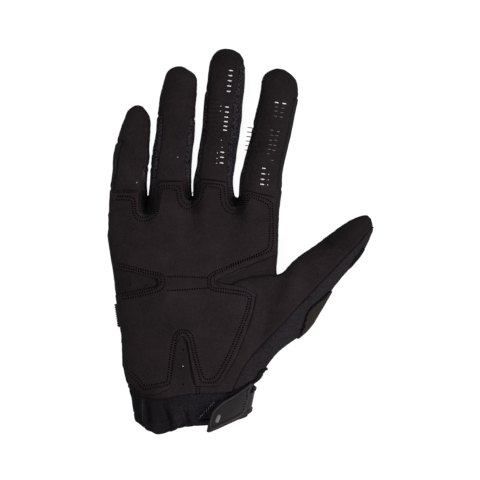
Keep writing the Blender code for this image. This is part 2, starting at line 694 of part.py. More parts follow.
def cloth_panel(name, faces, low, high, collection, material):
    """A closed wall of cloth over some of the cage's faces, between two heights on it."""
    inside = set(faces)
    panel = bmesh.new()
    outer = {}
    inner = {}
    for face in faces:
        for vert in face.verts:
            if vert in outer:
                continue
            rim = vert.is_boundary or not inside.issuperset(vert.link_faces)
            shift = edge_pull(vert, inside) * 0.5 * SEAM_GAP if rim else Vector()
            reach = min(vert.calc_shell_factor(), MOST_STRETCH)
            outer[vert] = panel.verts.new(vert.co + shift + vert.normal * high * reach)
            inner[vert] = panel.verts.new(vert.co + shift + vert.normal * low * reach)
    for face in faces:
        panel.faces.new([outer[vert] for vert in face.verts])
        panel.faces.new([inner[vert] for vert in reversed(face.verts)])
        for loop in face.loops:
            if sum(link in inside for link in loop.edge.link_faces) == 1:
                start = loop.vert
                end = loop.link_loop_next.vert
                panel.faces.new((outer[start], inner[start], inner[end], outer[end]))
    bmesh.ops.triangulate(panel, faces=panel.faces[:])
    bmesh.ops.recalc_face_normals(panel, faces=panel.faces[:])
    mesh = bpy.data.meshes.new(name)
    panel.to_mesh(mesh)
    panel.free()
    return link_object(name, mesh, collection, material)


def band_between(name, sections, collection, material):
    """A closed band lofted through equal sections, with its two ends capped."""
    band = bmesh.new()
    loops = [[band.verts.new(point) for point in section] for section in sections]
    for near, far in zip(loops, loops[1:]):
        for number in range(len(near)):
            after = (number + 1) % len(near)
            band.faces.new((near[number], near[after], far[after], far[number]))
    band.faces.new(loops[0])
    band.faces.new(loops[-1])
    bmesh.ops.triangulate(band, faces=band.faces[:])
    bmesh.ops.recalc_face_normals(band, faces=band.faces[:])
    mesh = bpy.data.meshes.new(name)
    band.to_mesh(mesh)
    band.free()
    return link_object(name, mesh, collection, material)


def on_ring(ring, column):
    """Point on a ring at a column that may lie between two of its vertices."""
    points = ring.around()
    first = math.floor(column)
    start = points[first % len(points)].co
    end = points[(first + 1) % len(points)].co
    return start.lerp(end, column - first)


def surface_frame(rows, column, y):
    """Point and outward normal of the hand's surface, read on past the hem where needed."""
    upper, lower = rows[-2], rows[-1]
    for first, second in zip(rows, rows[1:]):
        if on_ring(second, column).y <= y:
            upper, lower = first, second
            break
    top = on_ring(upper, column)
    bottom = on_ring(lower, column)
    share = (y - bottom.y) / (top.y - bottom.y)
    around = on_ring(lower, column + BESIDE) - on_ring(lower, column - BESIDE)
    normal = around.cross(top - bottom).normalized()
    return bottom.lerp(top, share), normal


def band_section(rows, column, low, high, lift, profile):
    """Section of a band along a column: low and high edges, lift and outer profile."""
    outer = []
    for share, height in profile:
        point, normal = surface_frame(rows, column, low + (high - low) * share)
        outer.append(point + normal * (lift + height))
    inner = []
    for share in (1.0, 0.5, 0.0):
        point, normal = surface_frame(rows, column, low + (high - low) * share)
        inner.append(point + normal * lift)
    return outer + inner


def make_strap(rows, collection, material):
    rim = STRAP_THICKNESS + STRAP_RIM
    edge = STRAP_RIM_SHARE
    raised = (
        (0.0, rim), (edge, rim), (edge + STRAP_RIM_SLOPE, STRAP_THICKNESS),
        (1.0 - edge - STRAP_RIM_SLOPE, STRAP_THICKNESS), (1.0 - edge, rim), (1.0, rim),
    )
    solid = tuple((share, rim) for share, _ in raised)
    patch_lift = PATCH_THICKNESS + LAYER_GAP
    sections = []
    for number, row in enumerate(STRAP_ROWS):
        at_end = min(number, len(STRAP_ROWS) - 1 - number) < STRAP_END_ROWS
        profile = solid if at_end else raised
        lift = LAYER_GAP + patch_lift * row.over_patch
        sections.append(
            band_section(rows, row.column, up_to_y(row.low), up_to_y(row.high), lift, profile)
        )
    return band_between("closure_strap", sections, collection, material)


def make_binding(rows, collection, material):
    """Bound edge just below the wrist row, from the palm round the thumb side to the back."""
    profile = ((0.0, 0.5 * BINDING_THICKNESS), (0.3, BINDING_THICKNESS),
               (0.7, BINDING_THICKNESS), (1.0, 0.5 * BINDING_THICKNESS))
    sections = []
    for column in range(BINDING_FIRST_COLUMN, BINDING_LAST_COLUMN + 1):
        high = on_ring(rows[WRIST_ROW], column).y - SEAM_GAP
        sections.append(
            band_section(rows, column, high - BINDING_WIDTH, high, LAYER_GAP, profile)
        )
    return band_between("wrist_binding", sections, collection, material)


def make_side_guard(rows, collection, material):
    """Ribbed guard on the outer edge of the hand."""
    sections = []
    steps = 2 * RIB_COUNT
    for step in range(steps + 1):
        y = up_to_y(RIBS_LOW + (RIBS_HIGH - RIBS_LOW) * step / steps)
        height = GUARD_THICKNESS + (RIB_HEIGHT if step % 2 else 0.0)
        outer = []
        inner = []
        for column in RIB_COLUMNS:
            point, normal = surface_frame(rows, column, y)
            outer.append(point + normal * (LAYER_GAP + height))
            inner.append(point + normal * LAYER_GAP)
        sections.append(outer + inner[::-1])
    return band_between("side_guard", sections, collection, material)


def rounded_outline(corners):
    """Points of an outline whose corners are filleted to their own radius."""
    points = [palm_point(corner.across, corner.up) for corner in corners]
    outline = []
    for number, corner in enumerate(corners):
        here = points[number]
        before = points[number - 1] - here
        after = points[(number + 1) % len(points)] - here
        reach = corner.fillet * PALM_WIDTH
        turn = before.angle(after)
        setback = reach / math.tan(0.5 * turn) if reach else 0.0
        setback = min(setback, 0.49 * before.length, 0.49 * after.length)
        if setback < 0.05 * MM:
            outline.append(here)
            continue
        start = here + before.normalized() * setback
        end = here + after.normalized() * setback
        for step in range(FILLET_STEPS + 1):
            share = step / FILLET_STEPS
            first = start.lerp(here, share)
            second = here.lerp(end, share)
            outline.append(first.lerp(second, share))
    return outline


def toothed_outline():
    """Outline of the hook-and-loop patch, with a row of teeth on its free edge."""
    low = palm_point(PATCH_TEETH_LOW.across, PATCH_TEETH_LOW.up)
    high = palm_point(PATCH_TEETH_HIGH.across, PATCH_TEETH_HIGH.up)
    edge = (high - low).normalized()
    outward = Vector((-edge.y, edge.x, 0.0))
    outline = []
    for step in range(2 * PATCH_TEETH + 1):
        point = low.lerp(high, step / (2 * PATCH_TEETH))
        outline.append(point + outward * (PATCH_TOOTH_DEPTH if step % 2 else 0.0))
    outline.append(palm_point(PATCH_FAR_HIGH.across, PATCH_FAR_HIGH.up))
    outline.append(palm_point(PATCH_FAR_LOW.across, PATCH_FAR_LOW.up))
    return outline


def make_cutter(name, outline, collection):
    """Upright prism over an outline, from below the front's lowest point to above it."""
    cutter = bmesh.new()
    low = CUTTER_LOW * PALM_THICKNESS
    height = CUTTER_HEIGHT * PALM_THICKNESS
    floor = cutter.faces.new([cutter.verts.new((p.x, p.y, low)) for p in outline])
    grown = bmesh.ops.extrude_face_region(cutter, geom=[floor])
    lifted = [item for item in grown["geom"] if isinstance(item, bmesh.types.BMVert)]
    bmesh.ops.translate(cutter, verts=lifted, vec=(0.0, 0.0, height))
    bmesh.ops.recalc_face_normals(cutter, faces=cutter.faces[:])
    mesh = bpy.data.meshes.new(name)
    cutter.to_mesh(mesh)
    cutter.free()
    thing = link_object(name, mesh, collection, None)
    thing.hide_render = True
    thing.display_type = "WIRE"
    return thing


def trim_to(thing, cutter):
    """Keep only what of a layer lies over the cutter's outline."""
    trim = thing.modifiers.new("outline", "BOOLEAN")
    trim.operation = "INTERSECT"
    trim.object = cutter


def clear_scene():
    for thing in list(bpy.data.objects):
        bpy.data.objects.remove(thing, do_unlink=True)


def cloth_materials():
    suede = make_material("palm_suede", (0.020, 0.014, 0.017), 0.85)
    mesh = make_material("gusset_mesh", (0.022, 0.018, 0.026), 0.8)
    return {
        b"palm_panel": suede,
        b"thumb_panel": suede,
        b"thumb_side": make_material("stretch_side", (0.018, 0.013, 0.018), 0.8),
        b"back_panel": make_material("stretch_back", (0.016, 0.012, 0.016), 0.8),
        b"cuff": make_material("cuff_elastic", (0.012, 0.009, 0.013), 0.75),
        b"gusset_little_ring": mesh,
        b"gusset_ring_middle": mesh,
        b"gusset_middle_index": mesh,
    }


def main():
    clear_scene()
    scene = bpy.context.scene
    glove = bpy.data.collections.new("motocross_glove")
    scene.collection.children.link(glove)
    cutters = bpy.data.collections.new("cutters")
    scene.collection.children.link(cutters)

    cage, rows = build_cage()
    tags = cage.faces.layers.string["cloth"]
    overlaid = cage.faces.layers.int["overlaid"]
    guarded = cage.faces.layers.int["guarded"]
    cloths = cloth_materials()
    for label, material in cloths.items():
        faces = [face for face in cage.faces if face[tags] == label]
        cloth_panel(label.decode(), faces, -WALL, 0.0, glove, material)

    front = [face for face in cage.faces if face[overlaid]]
    overlay = cloth_panel("palm_overlay", front, LAYER_GAP,
                          LAYER_GAP + OVERLAY_THICKNESS, glove, cloths[b"palm_panel"])
    trim_to(overlay, make_cutter("overlay_outline", rounded_outline(OVERLAY_CORNERS), cutters))

    band = set(rows[WRIST_ROW].front + rows[WRIST_ROW + 1].front + rows[-2].front
               + rows[-1].front)
    wrist = [face for face in cage.faces if band.issuperset(face.verts)]
    loop_side = make_material("loop_patch", (0.010, 0.010, 0.012), 0.9)
    patch = cloth_panel("closure_patch", wrist, LAYER_GAP,
                        LAYER_GAP + PATCH_THICKNESS, glove, loop_side)
    trim_to(patch, make_cutter("patch_outline", toothed_outline(), cutters))

    rubber = make_material("strap_rubber", (0.030, 0.024, 0.028), 0.5)
    make_strap(rows, glove, rubber)
    make_binding(rows, glove, make_material("binding", (0.008, 0.006, 0.008), 0.7))
    make_side_guard(rows, glove, rubber)
    olive = make_material("thumb_guard", (0.026, 0.024, 0.016), 0.55)
    outer_side = [face for face in cage.faces if face[guarded]]
    cloth_panel("thumb_guard", outer_side, LAYER_GAP,
                LAYER_GAP + GUARD_THICKNESS, glove, olive)
    cage.free()


main()
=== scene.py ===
# Looks of a right-hand motocross glove that lies on its back with the palm up.
# Metres, +Z up, fingertips towards +Y, thumb towards +X.
import math
from collections import namedtuple

import bmesh
import bpy
import numpy as np
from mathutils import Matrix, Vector
from mathutils.bvhtree import BVHTree
from mathutils.geometry import delaunay_2d_cdt
from mathutils.kdtree import KDTree


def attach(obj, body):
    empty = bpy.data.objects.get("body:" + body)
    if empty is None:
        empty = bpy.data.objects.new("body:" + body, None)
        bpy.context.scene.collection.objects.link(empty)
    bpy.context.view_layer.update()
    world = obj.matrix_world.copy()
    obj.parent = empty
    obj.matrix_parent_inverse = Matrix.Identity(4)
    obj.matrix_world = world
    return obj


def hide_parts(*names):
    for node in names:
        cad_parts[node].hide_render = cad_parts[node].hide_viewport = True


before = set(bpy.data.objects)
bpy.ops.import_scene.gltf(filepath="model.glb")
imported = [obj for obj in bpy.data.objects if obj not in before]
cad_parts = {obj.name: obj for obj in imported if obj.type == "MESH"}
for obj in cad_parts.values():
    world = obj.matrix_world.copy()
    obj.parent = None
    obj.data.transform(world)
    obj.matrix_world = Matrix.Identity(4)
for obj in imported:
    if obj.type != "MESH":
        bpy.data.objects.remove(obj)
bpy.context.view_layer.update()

MM = 0.001

# Clearance below what lies on the cloth, and the overlay's thickness.
LAYER_GAP = 0.3 * MM
OVERLAY_THICKNESS = 1.0 * MM

# The palm and wrist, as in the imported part.
PALM_WIDTH = 92.4 * MM
PALM_LENGTH = 109.5 * MM
PALM_THICKNESS = 30.0 * MM
PALM_CENTRE_X = -25.0 * MM
KNUCKLE_Y = 24.0 * MM
WRIST_Y = KNUCKLE_Y - PALM_LENGTH
PALM_ROUNDNESS = 3.0
BACK_FLATNESS = 1.15
STRAP_ROOM = 3.2 * MM
# Finger crotches and the suede's edge, as shares of the palm's width from its outer side.
CROTCHES = (0.223, 0.488, 0.750)
EDGE_INSET = 0.03
COLUMNS_PER_FINGER = 4
COLUMN_COUNT = 4 * COLUMNS_PER_FINGER
SIDE_POINTS = 3
THUMB_PANEL_COLUMN = 12

# Rows across the hand. left_up and right_up are heights above the wrist at the two sides,
# drop is how far the row sags between them: shares of the palm's length. left and right are
# half widths, shares of the palm's width. thick is a share of the palm's thickness, and low
# is the share of the strap's room that the row is raised off the ground.
PalmRow = namedtuple("PalmRow", "left_up right_up drop left right thick low")
PALM_ROWS = [PalmRow(*row) for row in (
    (1.000, 0.985, 0.000, 0.507, 0.512, 0.74, 0.0), (0.890, 0.890, 0.000, 0.511, 0.501, 0.82, 0.0),
    (0.790, 0.790, 0.000, 0.514, 0.497, 0.90, 0.0), (0.695, 0.695, 0.000, 0.499, 0.494, 0.96, 0.0),
    (0.600, 0.600, 0.000, 0.481, 0.490, 1.00, 0.0), (0.487, 0.500, 0.008, 0.466, 0.470, 1.03, 0.0),
    (0.377, 0.407, 0.018, 0.447, 0.452, 1.05, 0.0), (0.260, 0.310, 0.034, 0.431, 0.432, 1.06, 0.1),
    (0.146, 0.216, 0.056, 0.426, 0.405, 1.05, 0.4), (0.035, 0.120, 0.088, 0.388, 0.405, 1.05, 0.8),
    (-0.020, 0.055, 0.088, 0.371, 0.350, 1.06, 1.0), (-0.070, -0.015, 0.074, 0.362, 0.330, 1.10, 1.0),
    (-0.108, -0.098, 0.030, 0.352, 0.315, 1.14, 1.0),
)]
THUMB_TOP_ROW = 4
WRIST_ROW = 9
# The hem hangs lower under the little finger than under the thumb.
HEM_SAG, HEM_SAG_AT, HEM_SAG_WIDTH = 0.046, 0.20, 0.16
# Where each crotch sits on the knuckle row: how far the palm-side corner lies below it and
# the cloth between the fingers rises above it, as shares of the palm's length.
CROTCH_SHAPES = ((0.080, -0.018), (0.030, -0.014), (0.048, -0.034))
CROTCH_FRONT_HEIGHT = 0.42
CROTCH_BACK_HEIGHT = 0.62
CROTCH_UPPER_RISE = 0.45
CROTCH_LOWER_RISE = 0.6
# How far the rows below the knuckles dip under each crotch, as a share of their height.
VALLEY_DEPTHS = (0.16, 0.05)
# Folds of the wrist band's front: a column of the hand and its height there, as a share of
# the palm's thickness, ridges above zero and creases below.
CUFF_FOLDS = ((1, 0.030), (2, -0.012), (4, -0.020), (5, -0.045), (6, 0.020), (7, -0.040), (8, -0.012))

# Each finger's length, width, thickness, lean to the thumb side and sections. A section is a
# share of the length, its left and right half widths and how far the suede stops short of
# each, as shares of the width, and its thickness and lift, as shares of the thickness.
Finger = namedtuple("Finger", "length width thickness lean sections")
FINGERS = (
    Finger(50.6 * MM, 20.4 * MM, 15.5 * MM, math.radians(5.4), (
        (0.14, 0.52, 0.47, 0.10, 0.12, 1.08, 0.00), (0.28, 0.51, 0.44, 0.13, 0.12, 1.02, 0.02),
        (0.42, 0.53, 0.46, 0.14, 0.09, 1.00, 0.05), (0.54, 0.49, 0.42, 0.16, 0.07, 0.98, 0.09),
        (0.64, 0.42, 0.42, 0.17, 0.07, 0.95, 0.14), (0.75, 0.38, 0.41, 0.12, 0.07, 0.90, 0.20),
        (0.85, 0.29, 0.39, 0.08, 0.07, 0.80, 0.28), (0.92, 0.25, 0.30, 0.06, 0.06, 0.66, 0.37),
        (0.975, 0.11, 0.18, 0.03, 0.03, 0.40, 0.50),
    )),
    Finger(71.5 * MM, 22.0 * MM, 17.0 * MM, math.radians(4.8), (
        (0.10, 0.55, 0.50, 0.12, 0.09, 1.08, 0.00), (0.20, 0.55, 0.48, 0.15, 0.11, 1.03, 0.01),
        (0.32, 0.55, 0.46, 0.18, 0.16, 1.00, 0.03), (0.45, 0.50, 0.48, 0.16, 0.14, 1.00, 0.06),
        (0.56, 0.50, 0.47, 0.14, 0.12, 0.98, 0.10), (0.66, 0.48, 0.44, 0.12, 0.10, 0.95, 0.15),
        (0.77, 0.46, 0.44, 0.10, 0.09, 0.90, 0.20), (0.87, 0.40, 0.43, 0.08, 0.08, 0.82, 0.27),
        (0.94, 0.35, 0.38, 0.06, 0.06, 0.68, 0.36), (0.98, 0.25, 0.19, 0.03, 0.03, 0.42, 0.48),
    )),
    Finger(81.4 * MM, 21.5 * MM, 17.5 * MM, math.radians(5.9), (
        (0.09, 0.61, 0.42, 0.08, 0.12, 1.08, 0.00), (0.18, 0.56, 0.42, 0.08, 0.15, 1.03, 0.01),
        (0.29, 0.56, 0.43, 0.08, 0.22, 1.00, 0.03), (0.42, 0.52, 0.45, 0.08, 0.22, 1.00, 0.06),
        (0.54, 0.53, 0.47, 0.08, 0.22, 0.98, 0.10), (0.65, 0.54, 0.45, 0.08, 0.25, 0.95, 0.14),
        (0.76, 0.50, 0.46, 0.08, 0.17, 0.90, 0.19), (0.87, 0.50, 0.42, 0.08, 0.13, 0.82, 0.26),
        (0.94, 0.43, 0.35, 0.06, 0.08, 0.68, 0.35), (0.98, 0.33, 0.21, 0.03, 0.03, 0.42, 0.47),
    )),
    Finger(71.0 * MM, 22.0 * MM, 17.5 * MM, math.radians(10.2), (
        (0.09, 0.56, 0.53, 0.05, 0.10, 1.08, 0.00), (0.18, 0.54, 0.48, 0.05, 0.08, 1.03, 0.01),
        (0.29, 0.52, 0.48, 0.05, 0.08, 1.00, 0.03), (0.42, 0.48, 0.50, 0.06, 0.08, 1.00, 0.06),
        (0.54, 0.46, 0.52, 0.06, 0.08, 0.98, 0.10), (0.65, 0.45, 0.52, 0.11, 0.09, 0.95, 0.14),
        (0.76, 0.42, 0.53, 0.10, 0.09, 0.90, 0.19), (0.87, 0.44, 0.48, 0.08, 0.08, 0.82, 0.26),
        (0.94, 0.40, 0.38, 0.06, 0.06, 0.68, 0.35), (0.98, 0.25, 0.20, 0.03, 0.03, 0.42, 0.47),
    )),
)
FINGER_ROUNDNESS = 2.4
BACK_SEAM = 0.14
CAP_BULGE = 0.022

# Sections of the thumb. Each one runs from its inner end, on the finger side, to its outer
# end, both given along the thumb (shares of its length) and out from its axis (shares of
# its width). thick and lift are shares of its thickness.
THUMB_LENGTH = 83.8 * MM
THUMB_WIDTH = 24.2 * MM
THUMB_THICKNESS = 19.0 * MM
THUMB_LEAN = math.radians(43.0)
THUMB_EDGE_INSET = 0.06
THUMB_SECTIONS = (
    (0.35, 0.58, -0.08, 0.58, 1.43, 0.04), (0.43, 0.57, 0.07, 0.70, 1.28, 0.08),
    (0.52, 0.51, 0.20, 0.70, 1.17, 0.09), (0.62, 0.43, 0.37, 0.57, 1.07, 0.10),
    (0.71, 0.38, 0.485, 0.50, 1.00, 0.11), (0.785, 0.33, 0.62, 0.48, 0.94, 0.13),
    (0.86, 0.26, 0.74, 0.46, 0.84, 0.17), (0.92, 0.17, 0.84, 0.37, 0.68, 0.24),
    (0.955, 0.08, 0.91, 0.27, 0.44, 0.34),
)

# Corners of the sewn-on palm overlay, clockwise seen from the palm, from the little finger's
# tab: shares of the palm's width and length, and each fillet's radius as a share of the width.
OVERLAY_CORNERS = (
    # the fingers' tabs
    (-0.04, 1.023, 0.0), (0.167, 1.023, 0.012), (0.167, 0.905, 0.060),
    (0.292, 0.905, 0.060), (0.292, 1.072, 0.012), (0.429, 1.072, 0.012),
    (0.435, 0.975, 0.045), (0.530, 0.975, 0.045), (0.539, 1.085, 0.012),
    (0.690, 1.070, 0.012), (0.696, 0.945, 0.048), (0.798, 0.945, 0.048),
    (0.804, 1.025, 0.012), (0.980, 0.992, 0.030),
    # the thumb's notch
    (0.980, 0.709, 0.020), (0.759, 0.633, 0.100), (0.610, 0.573, 0.012),
    (0.789, 0.545, 0.150), (0.869, 0.512, 0.020),
    # the heel and its middle notch
    (0.836, 0.387, 0.100), (0.747, 0.201, 0.100), (0.646, 0.055, 0.015),
    (0.509, 0.055, 0.015), (0.479, 0.176, 0.050), (0.461, 0.276, 0.030),
    (0.426, 0.312, 0.020), (0.396, 0.276, 0.030), (0.378, 0.191, 0.050),
    (0.360, 0.048, 0.015), (0.277, 0.013, 0.060), (0.182, 0.018, 0.040),
    (0.092, 0.095, 0.030), (-0.04, 0.095, 0.0),
    # the outer notch
    (-0.04, 0.495, 0.0), (0.134, 0.520, 0.060), (0.289, 0.550, 0.012),
    (0.286, 0.588, 0.012), (0.122, 0.626, 0.060), (-0.04, 0.653, 0.0),
)
FILLET_STEPS = 5

# The hook-and-loop patch's toothed edge: its two ends, as shares of the palm's size.
PATCH_TEETH_LOW = (0.527, -0.110)
PATCH_TEETH_HIGH = (0.622, -0.025)
PATCH_TEETH = 8
PATCH_TOOTH_DEPTH = 1.0 * MM

# The photograph's scale and middle: world X = (px - MIDDLE_X) * PIXEL, Y = (MIDDLE_Y - py) * PIXEL.
PIXEL = 0.55 * MM
MIDDLE_X, MIDDLE_Y = 240.0, 239.5
CLOTHS = ("palm_panel", "thumb_panel", "thumb_side", "back_panel", "cuff",
          "gusset_little_ring", "gusset_ring_middle", "gusset_middle_index")
# How often the cage is subdivided, and the cloth's thickness in the visual model.
LEVEL = 3
CLOTH_WALL = 1.2 * MM
# Heights above the glove and about half way up it, and the way down, to find surfaces by.
ABOVE_ALL = 80.0 * MM
MID_HEIGHT = 20.0 * MM
DOWN = Vector((0.0, 0.0, -1.0))
rng = np.random.default_rng(7)


def palm_point(across, up):
    """World place of shares of the palm's width, from its outer side, and of its length."""
    return Vector((PALM_CENTRE_X + (across - 0.5) * PALM_WIDTH, WRIST_Y + up * PALM_LENGTH, 0.0))


def leaning(lean):
    """A direction in XY that leans from +Y to +X, and the one square to it on its right."""
    way = Vector((math.sin(lean), math.cos(lean), 0.0))
    return way, Vector((way.y, -way.x, 0.0))


def rounded_height(offset, roundness):
    """Height of a superellipse of unit size at an offset between -1 and 1."""
    return (1.0 - min(abs(offset), 1.0) ** roundness) ** (1.0 / roundness)


def rounded_side(start, end, roundness):
    """Points of a unit superellipse's side between two offsets, top seam to bottom seam."""
    top = math.acos(start ** (roundness / 2.0))
    bottom = math.acos(end ** (roundness / 2.0))
    points = []
    for angle in (0.5 * top, 0.0, -0.5 * bottom):
        height = abs(math.sin(angle)) ** (2.0 / roundness)
        points.append((math.cos(angle) ** (2.0 / roundness), math.copysign(height, angle)))
    return points


Ring = namedtuple("Ring", "front right back left")


def right_strip(ring):
    return [ring.front[-1], *ring.right, ring.back[-1]]


def left_strip(ring):
    return [ring.front[0], *ring.left, ring.back[0]]


def make_ring(cage, spot, low, thick, fronts, backs, right_end, left_end, under, roundness):
    """Vertices of one section: spot gives the place at an offset from -1 to 1 across it."""
    def place(out, height):
        point = spot(out)
        point.z = low + 0.5 * thick * max(0.0, 1.0 + height)
        return cage.verts.new(point)

    front = [place(out, rounded_height(out, roundness)) for out in fronts]
    back = [place(out, -BACK_FLATNESS * rounded_height(out, roundness)) for out in backs]
    right = [place(out, height) for out, height in rounded_side(right_end, under, roundness)]
    left = [place(-out, height) for out, height in rounded_side(left_end, under, roundness)]
    return Ring(front, right, back, left)


def row_ring(cage, row):
    """Vertices of one row across the hand, crotches on every fourth column."""
    marks = (EDGE_INSET,) + CROTCHES + (1.0 - EDGE_INSET,)
    outs = [2.0 * (start + (end - start) * step / COLUMNS_PER_FINGER) - 1.0
            for start, end in zip(marks, marks[1:]) for step in range(COLUMNS_PER_FINGER)]
    outs.append(2.0 * marks[-1] - 1.0)
    wrist, hem = PALM_ROWS[WRIST_ROW].left_up, PALM_ROWS[-1].left_up
    sag = HEM_SAG * max(0.0, (wrist - row.left_up) / (wrist - hem))

    def spot(out):
        share = 0.5 + 0.5 * out
        up = row.left_up + (row.right_up - row.left_up) * share
        up -= row.drop * (1.0 - abs(out) ** 3)
        up -= sag * math.exp(-((share - HEM_SAG_AT) / HEM_SAG_WIDTH) ** 2)
        return palm_point(0.5 - row.left + share * (row.left + row.right), up)

    edge = 1.0 - 2.0 * EDGE_INSET
    ring = make_ring(cage, spot, row.low * STRAP_ROOM, row.thick * PALM_THICKNESS, outs, outs,
                     edge, edge, edge, PALM_ROUNDNESS)
    if row.left_up < 0.0:
        for column, height in CUFF_FOLDS:
            ring.front[column].co.z += height * PALM_THICKNESS
    return ring


def shape_crotches(cage, rows):
    """Sink the knuckle row between the fingers and add the cloth between them."""
    webs = []
    middle = 0.5 * PALM_ROWS[0].thick * PALM_THICKNESS
    for number, (front_drop, middle_rise) in enumerate(CROTCH_SHAPES):
        column = (number + 1) * COLUMNS_PER_FINGER
        front = rows[0].front[column]
        base_y = front.co.y
        front.co.y -= front_drop * PALM_LENGTH
        front.co.z = middle * (1.0 + CROTCH_FRONT_HEIGHT)
        rows[0].back[column].co.z = middle * (1.0 - CROTCH_BACK_HEIGHT)
        rise = middle_rise * PALM_LENGTH
        climb = rise + base_y - front.co.y
        webs.append([cage.verts.new((front.co.x, y, middle * (1.0 + height))) for height, y in (
            (0.5 * CROTCH_FRONT_HEIGHT, front.co.y + CROTCH_UPPER_RISE * climb),
            (0.0, base_y + rise),
            (-0.5 * CROTCH_BACK_HEIGHT, base_y + CROTCH_LOWER_RISE * rise))])
        for depth, ring in zip(VALLEY_DEPTHS, rows[1:]):
            ring.front[column].co.z -= depth * middle
    return webs


def finger_rings(cage, number, finger):
    """Sections of one finger from its base on the knuckle row to just below its tip."""
    marks = (0.0,) + CROTCHES + (1.0,)
    knuckles = PALM_ROWS[0]
    middle = 0.5 * (marks[number] + marks[number + 1])
    across = 0.5 - knuckles.left + middle * (knuckles.left + knuckles.right)
    base = palm_point(across, knuckles.left_up)
    way, sideways = leaning(finger.lean)
    quarters = [step / COLUMNS_PER_FINGER for step in range(COLUMNS_PER_FINGER + 1)]
    rings = []
    for along, left, right, seam_left, seam_right, thick, lift in finger.sections:
        half_width = 0.5 * (left + right) * finger.width
        centre = base + way * finger.length * along + sideways * 0.5 * (right - left) * finger.width
        start = -1.0 + seam_left * finger.width / half_width
        end = 1.0 - seam_right * finger.width / half_width
        under = 1.0 - BACK_SEAM / (0.5 * (left + right))
        rings.append(make_ring(
            cage, lambda out: centre + sideways * out * half_width,
            lift * finger.thickness, thick * finger.thickness,
            [start + (end - start) * share for share in quarters],
            [-under + 2.0 * under * share for share in quarters],
            end, -start, under, FINGER_ROUNDNESS))
    return rings


def thumb_rings(cage, columns):
    """Sections of the thumb, each from the finger side to the outer side."""
    top, wrist = PALM_ROWS[THUMB_TOP_ROW], PALM_ROWS[WRIST_ROW]
    origin = palm_point(0.5 + top.right, top.right_up)
    origin = origin.lerp(palm_point(0.5 + wrist.right, wrist.right_up), 0.5)
    way, outward = leaning(THUMB_LEAN)
    edge = 1.0 - 2.0 * THUMB_EDGE_INSET
    outs = [edge * (2.0 * step / (columns - 1) - 1.0) for step in range(columns)]
    rings = []
    for inner_up, inner_out, outer_up, outer_out, thick, lift in THUMB_SECTIONS:
        inner = origin + way * inner_up * THUMB_LENGTH - outward * inner_out * THUMB_WIDTH
        outer = origin + way * outer_up * THUMB_LENGTH + outward * outer_out * THUMB_WIDTH
        rings.append(make_ring(
            cage, lambda out: inner.lerp(outer, 0.5 + 0.5 * out),
            lift * THUMB_THICKNESS, thick * THUMB_THICKNESS, outs, outs,
            edge, edge, edge, FINGER_ROUNDNESS))
    return rings


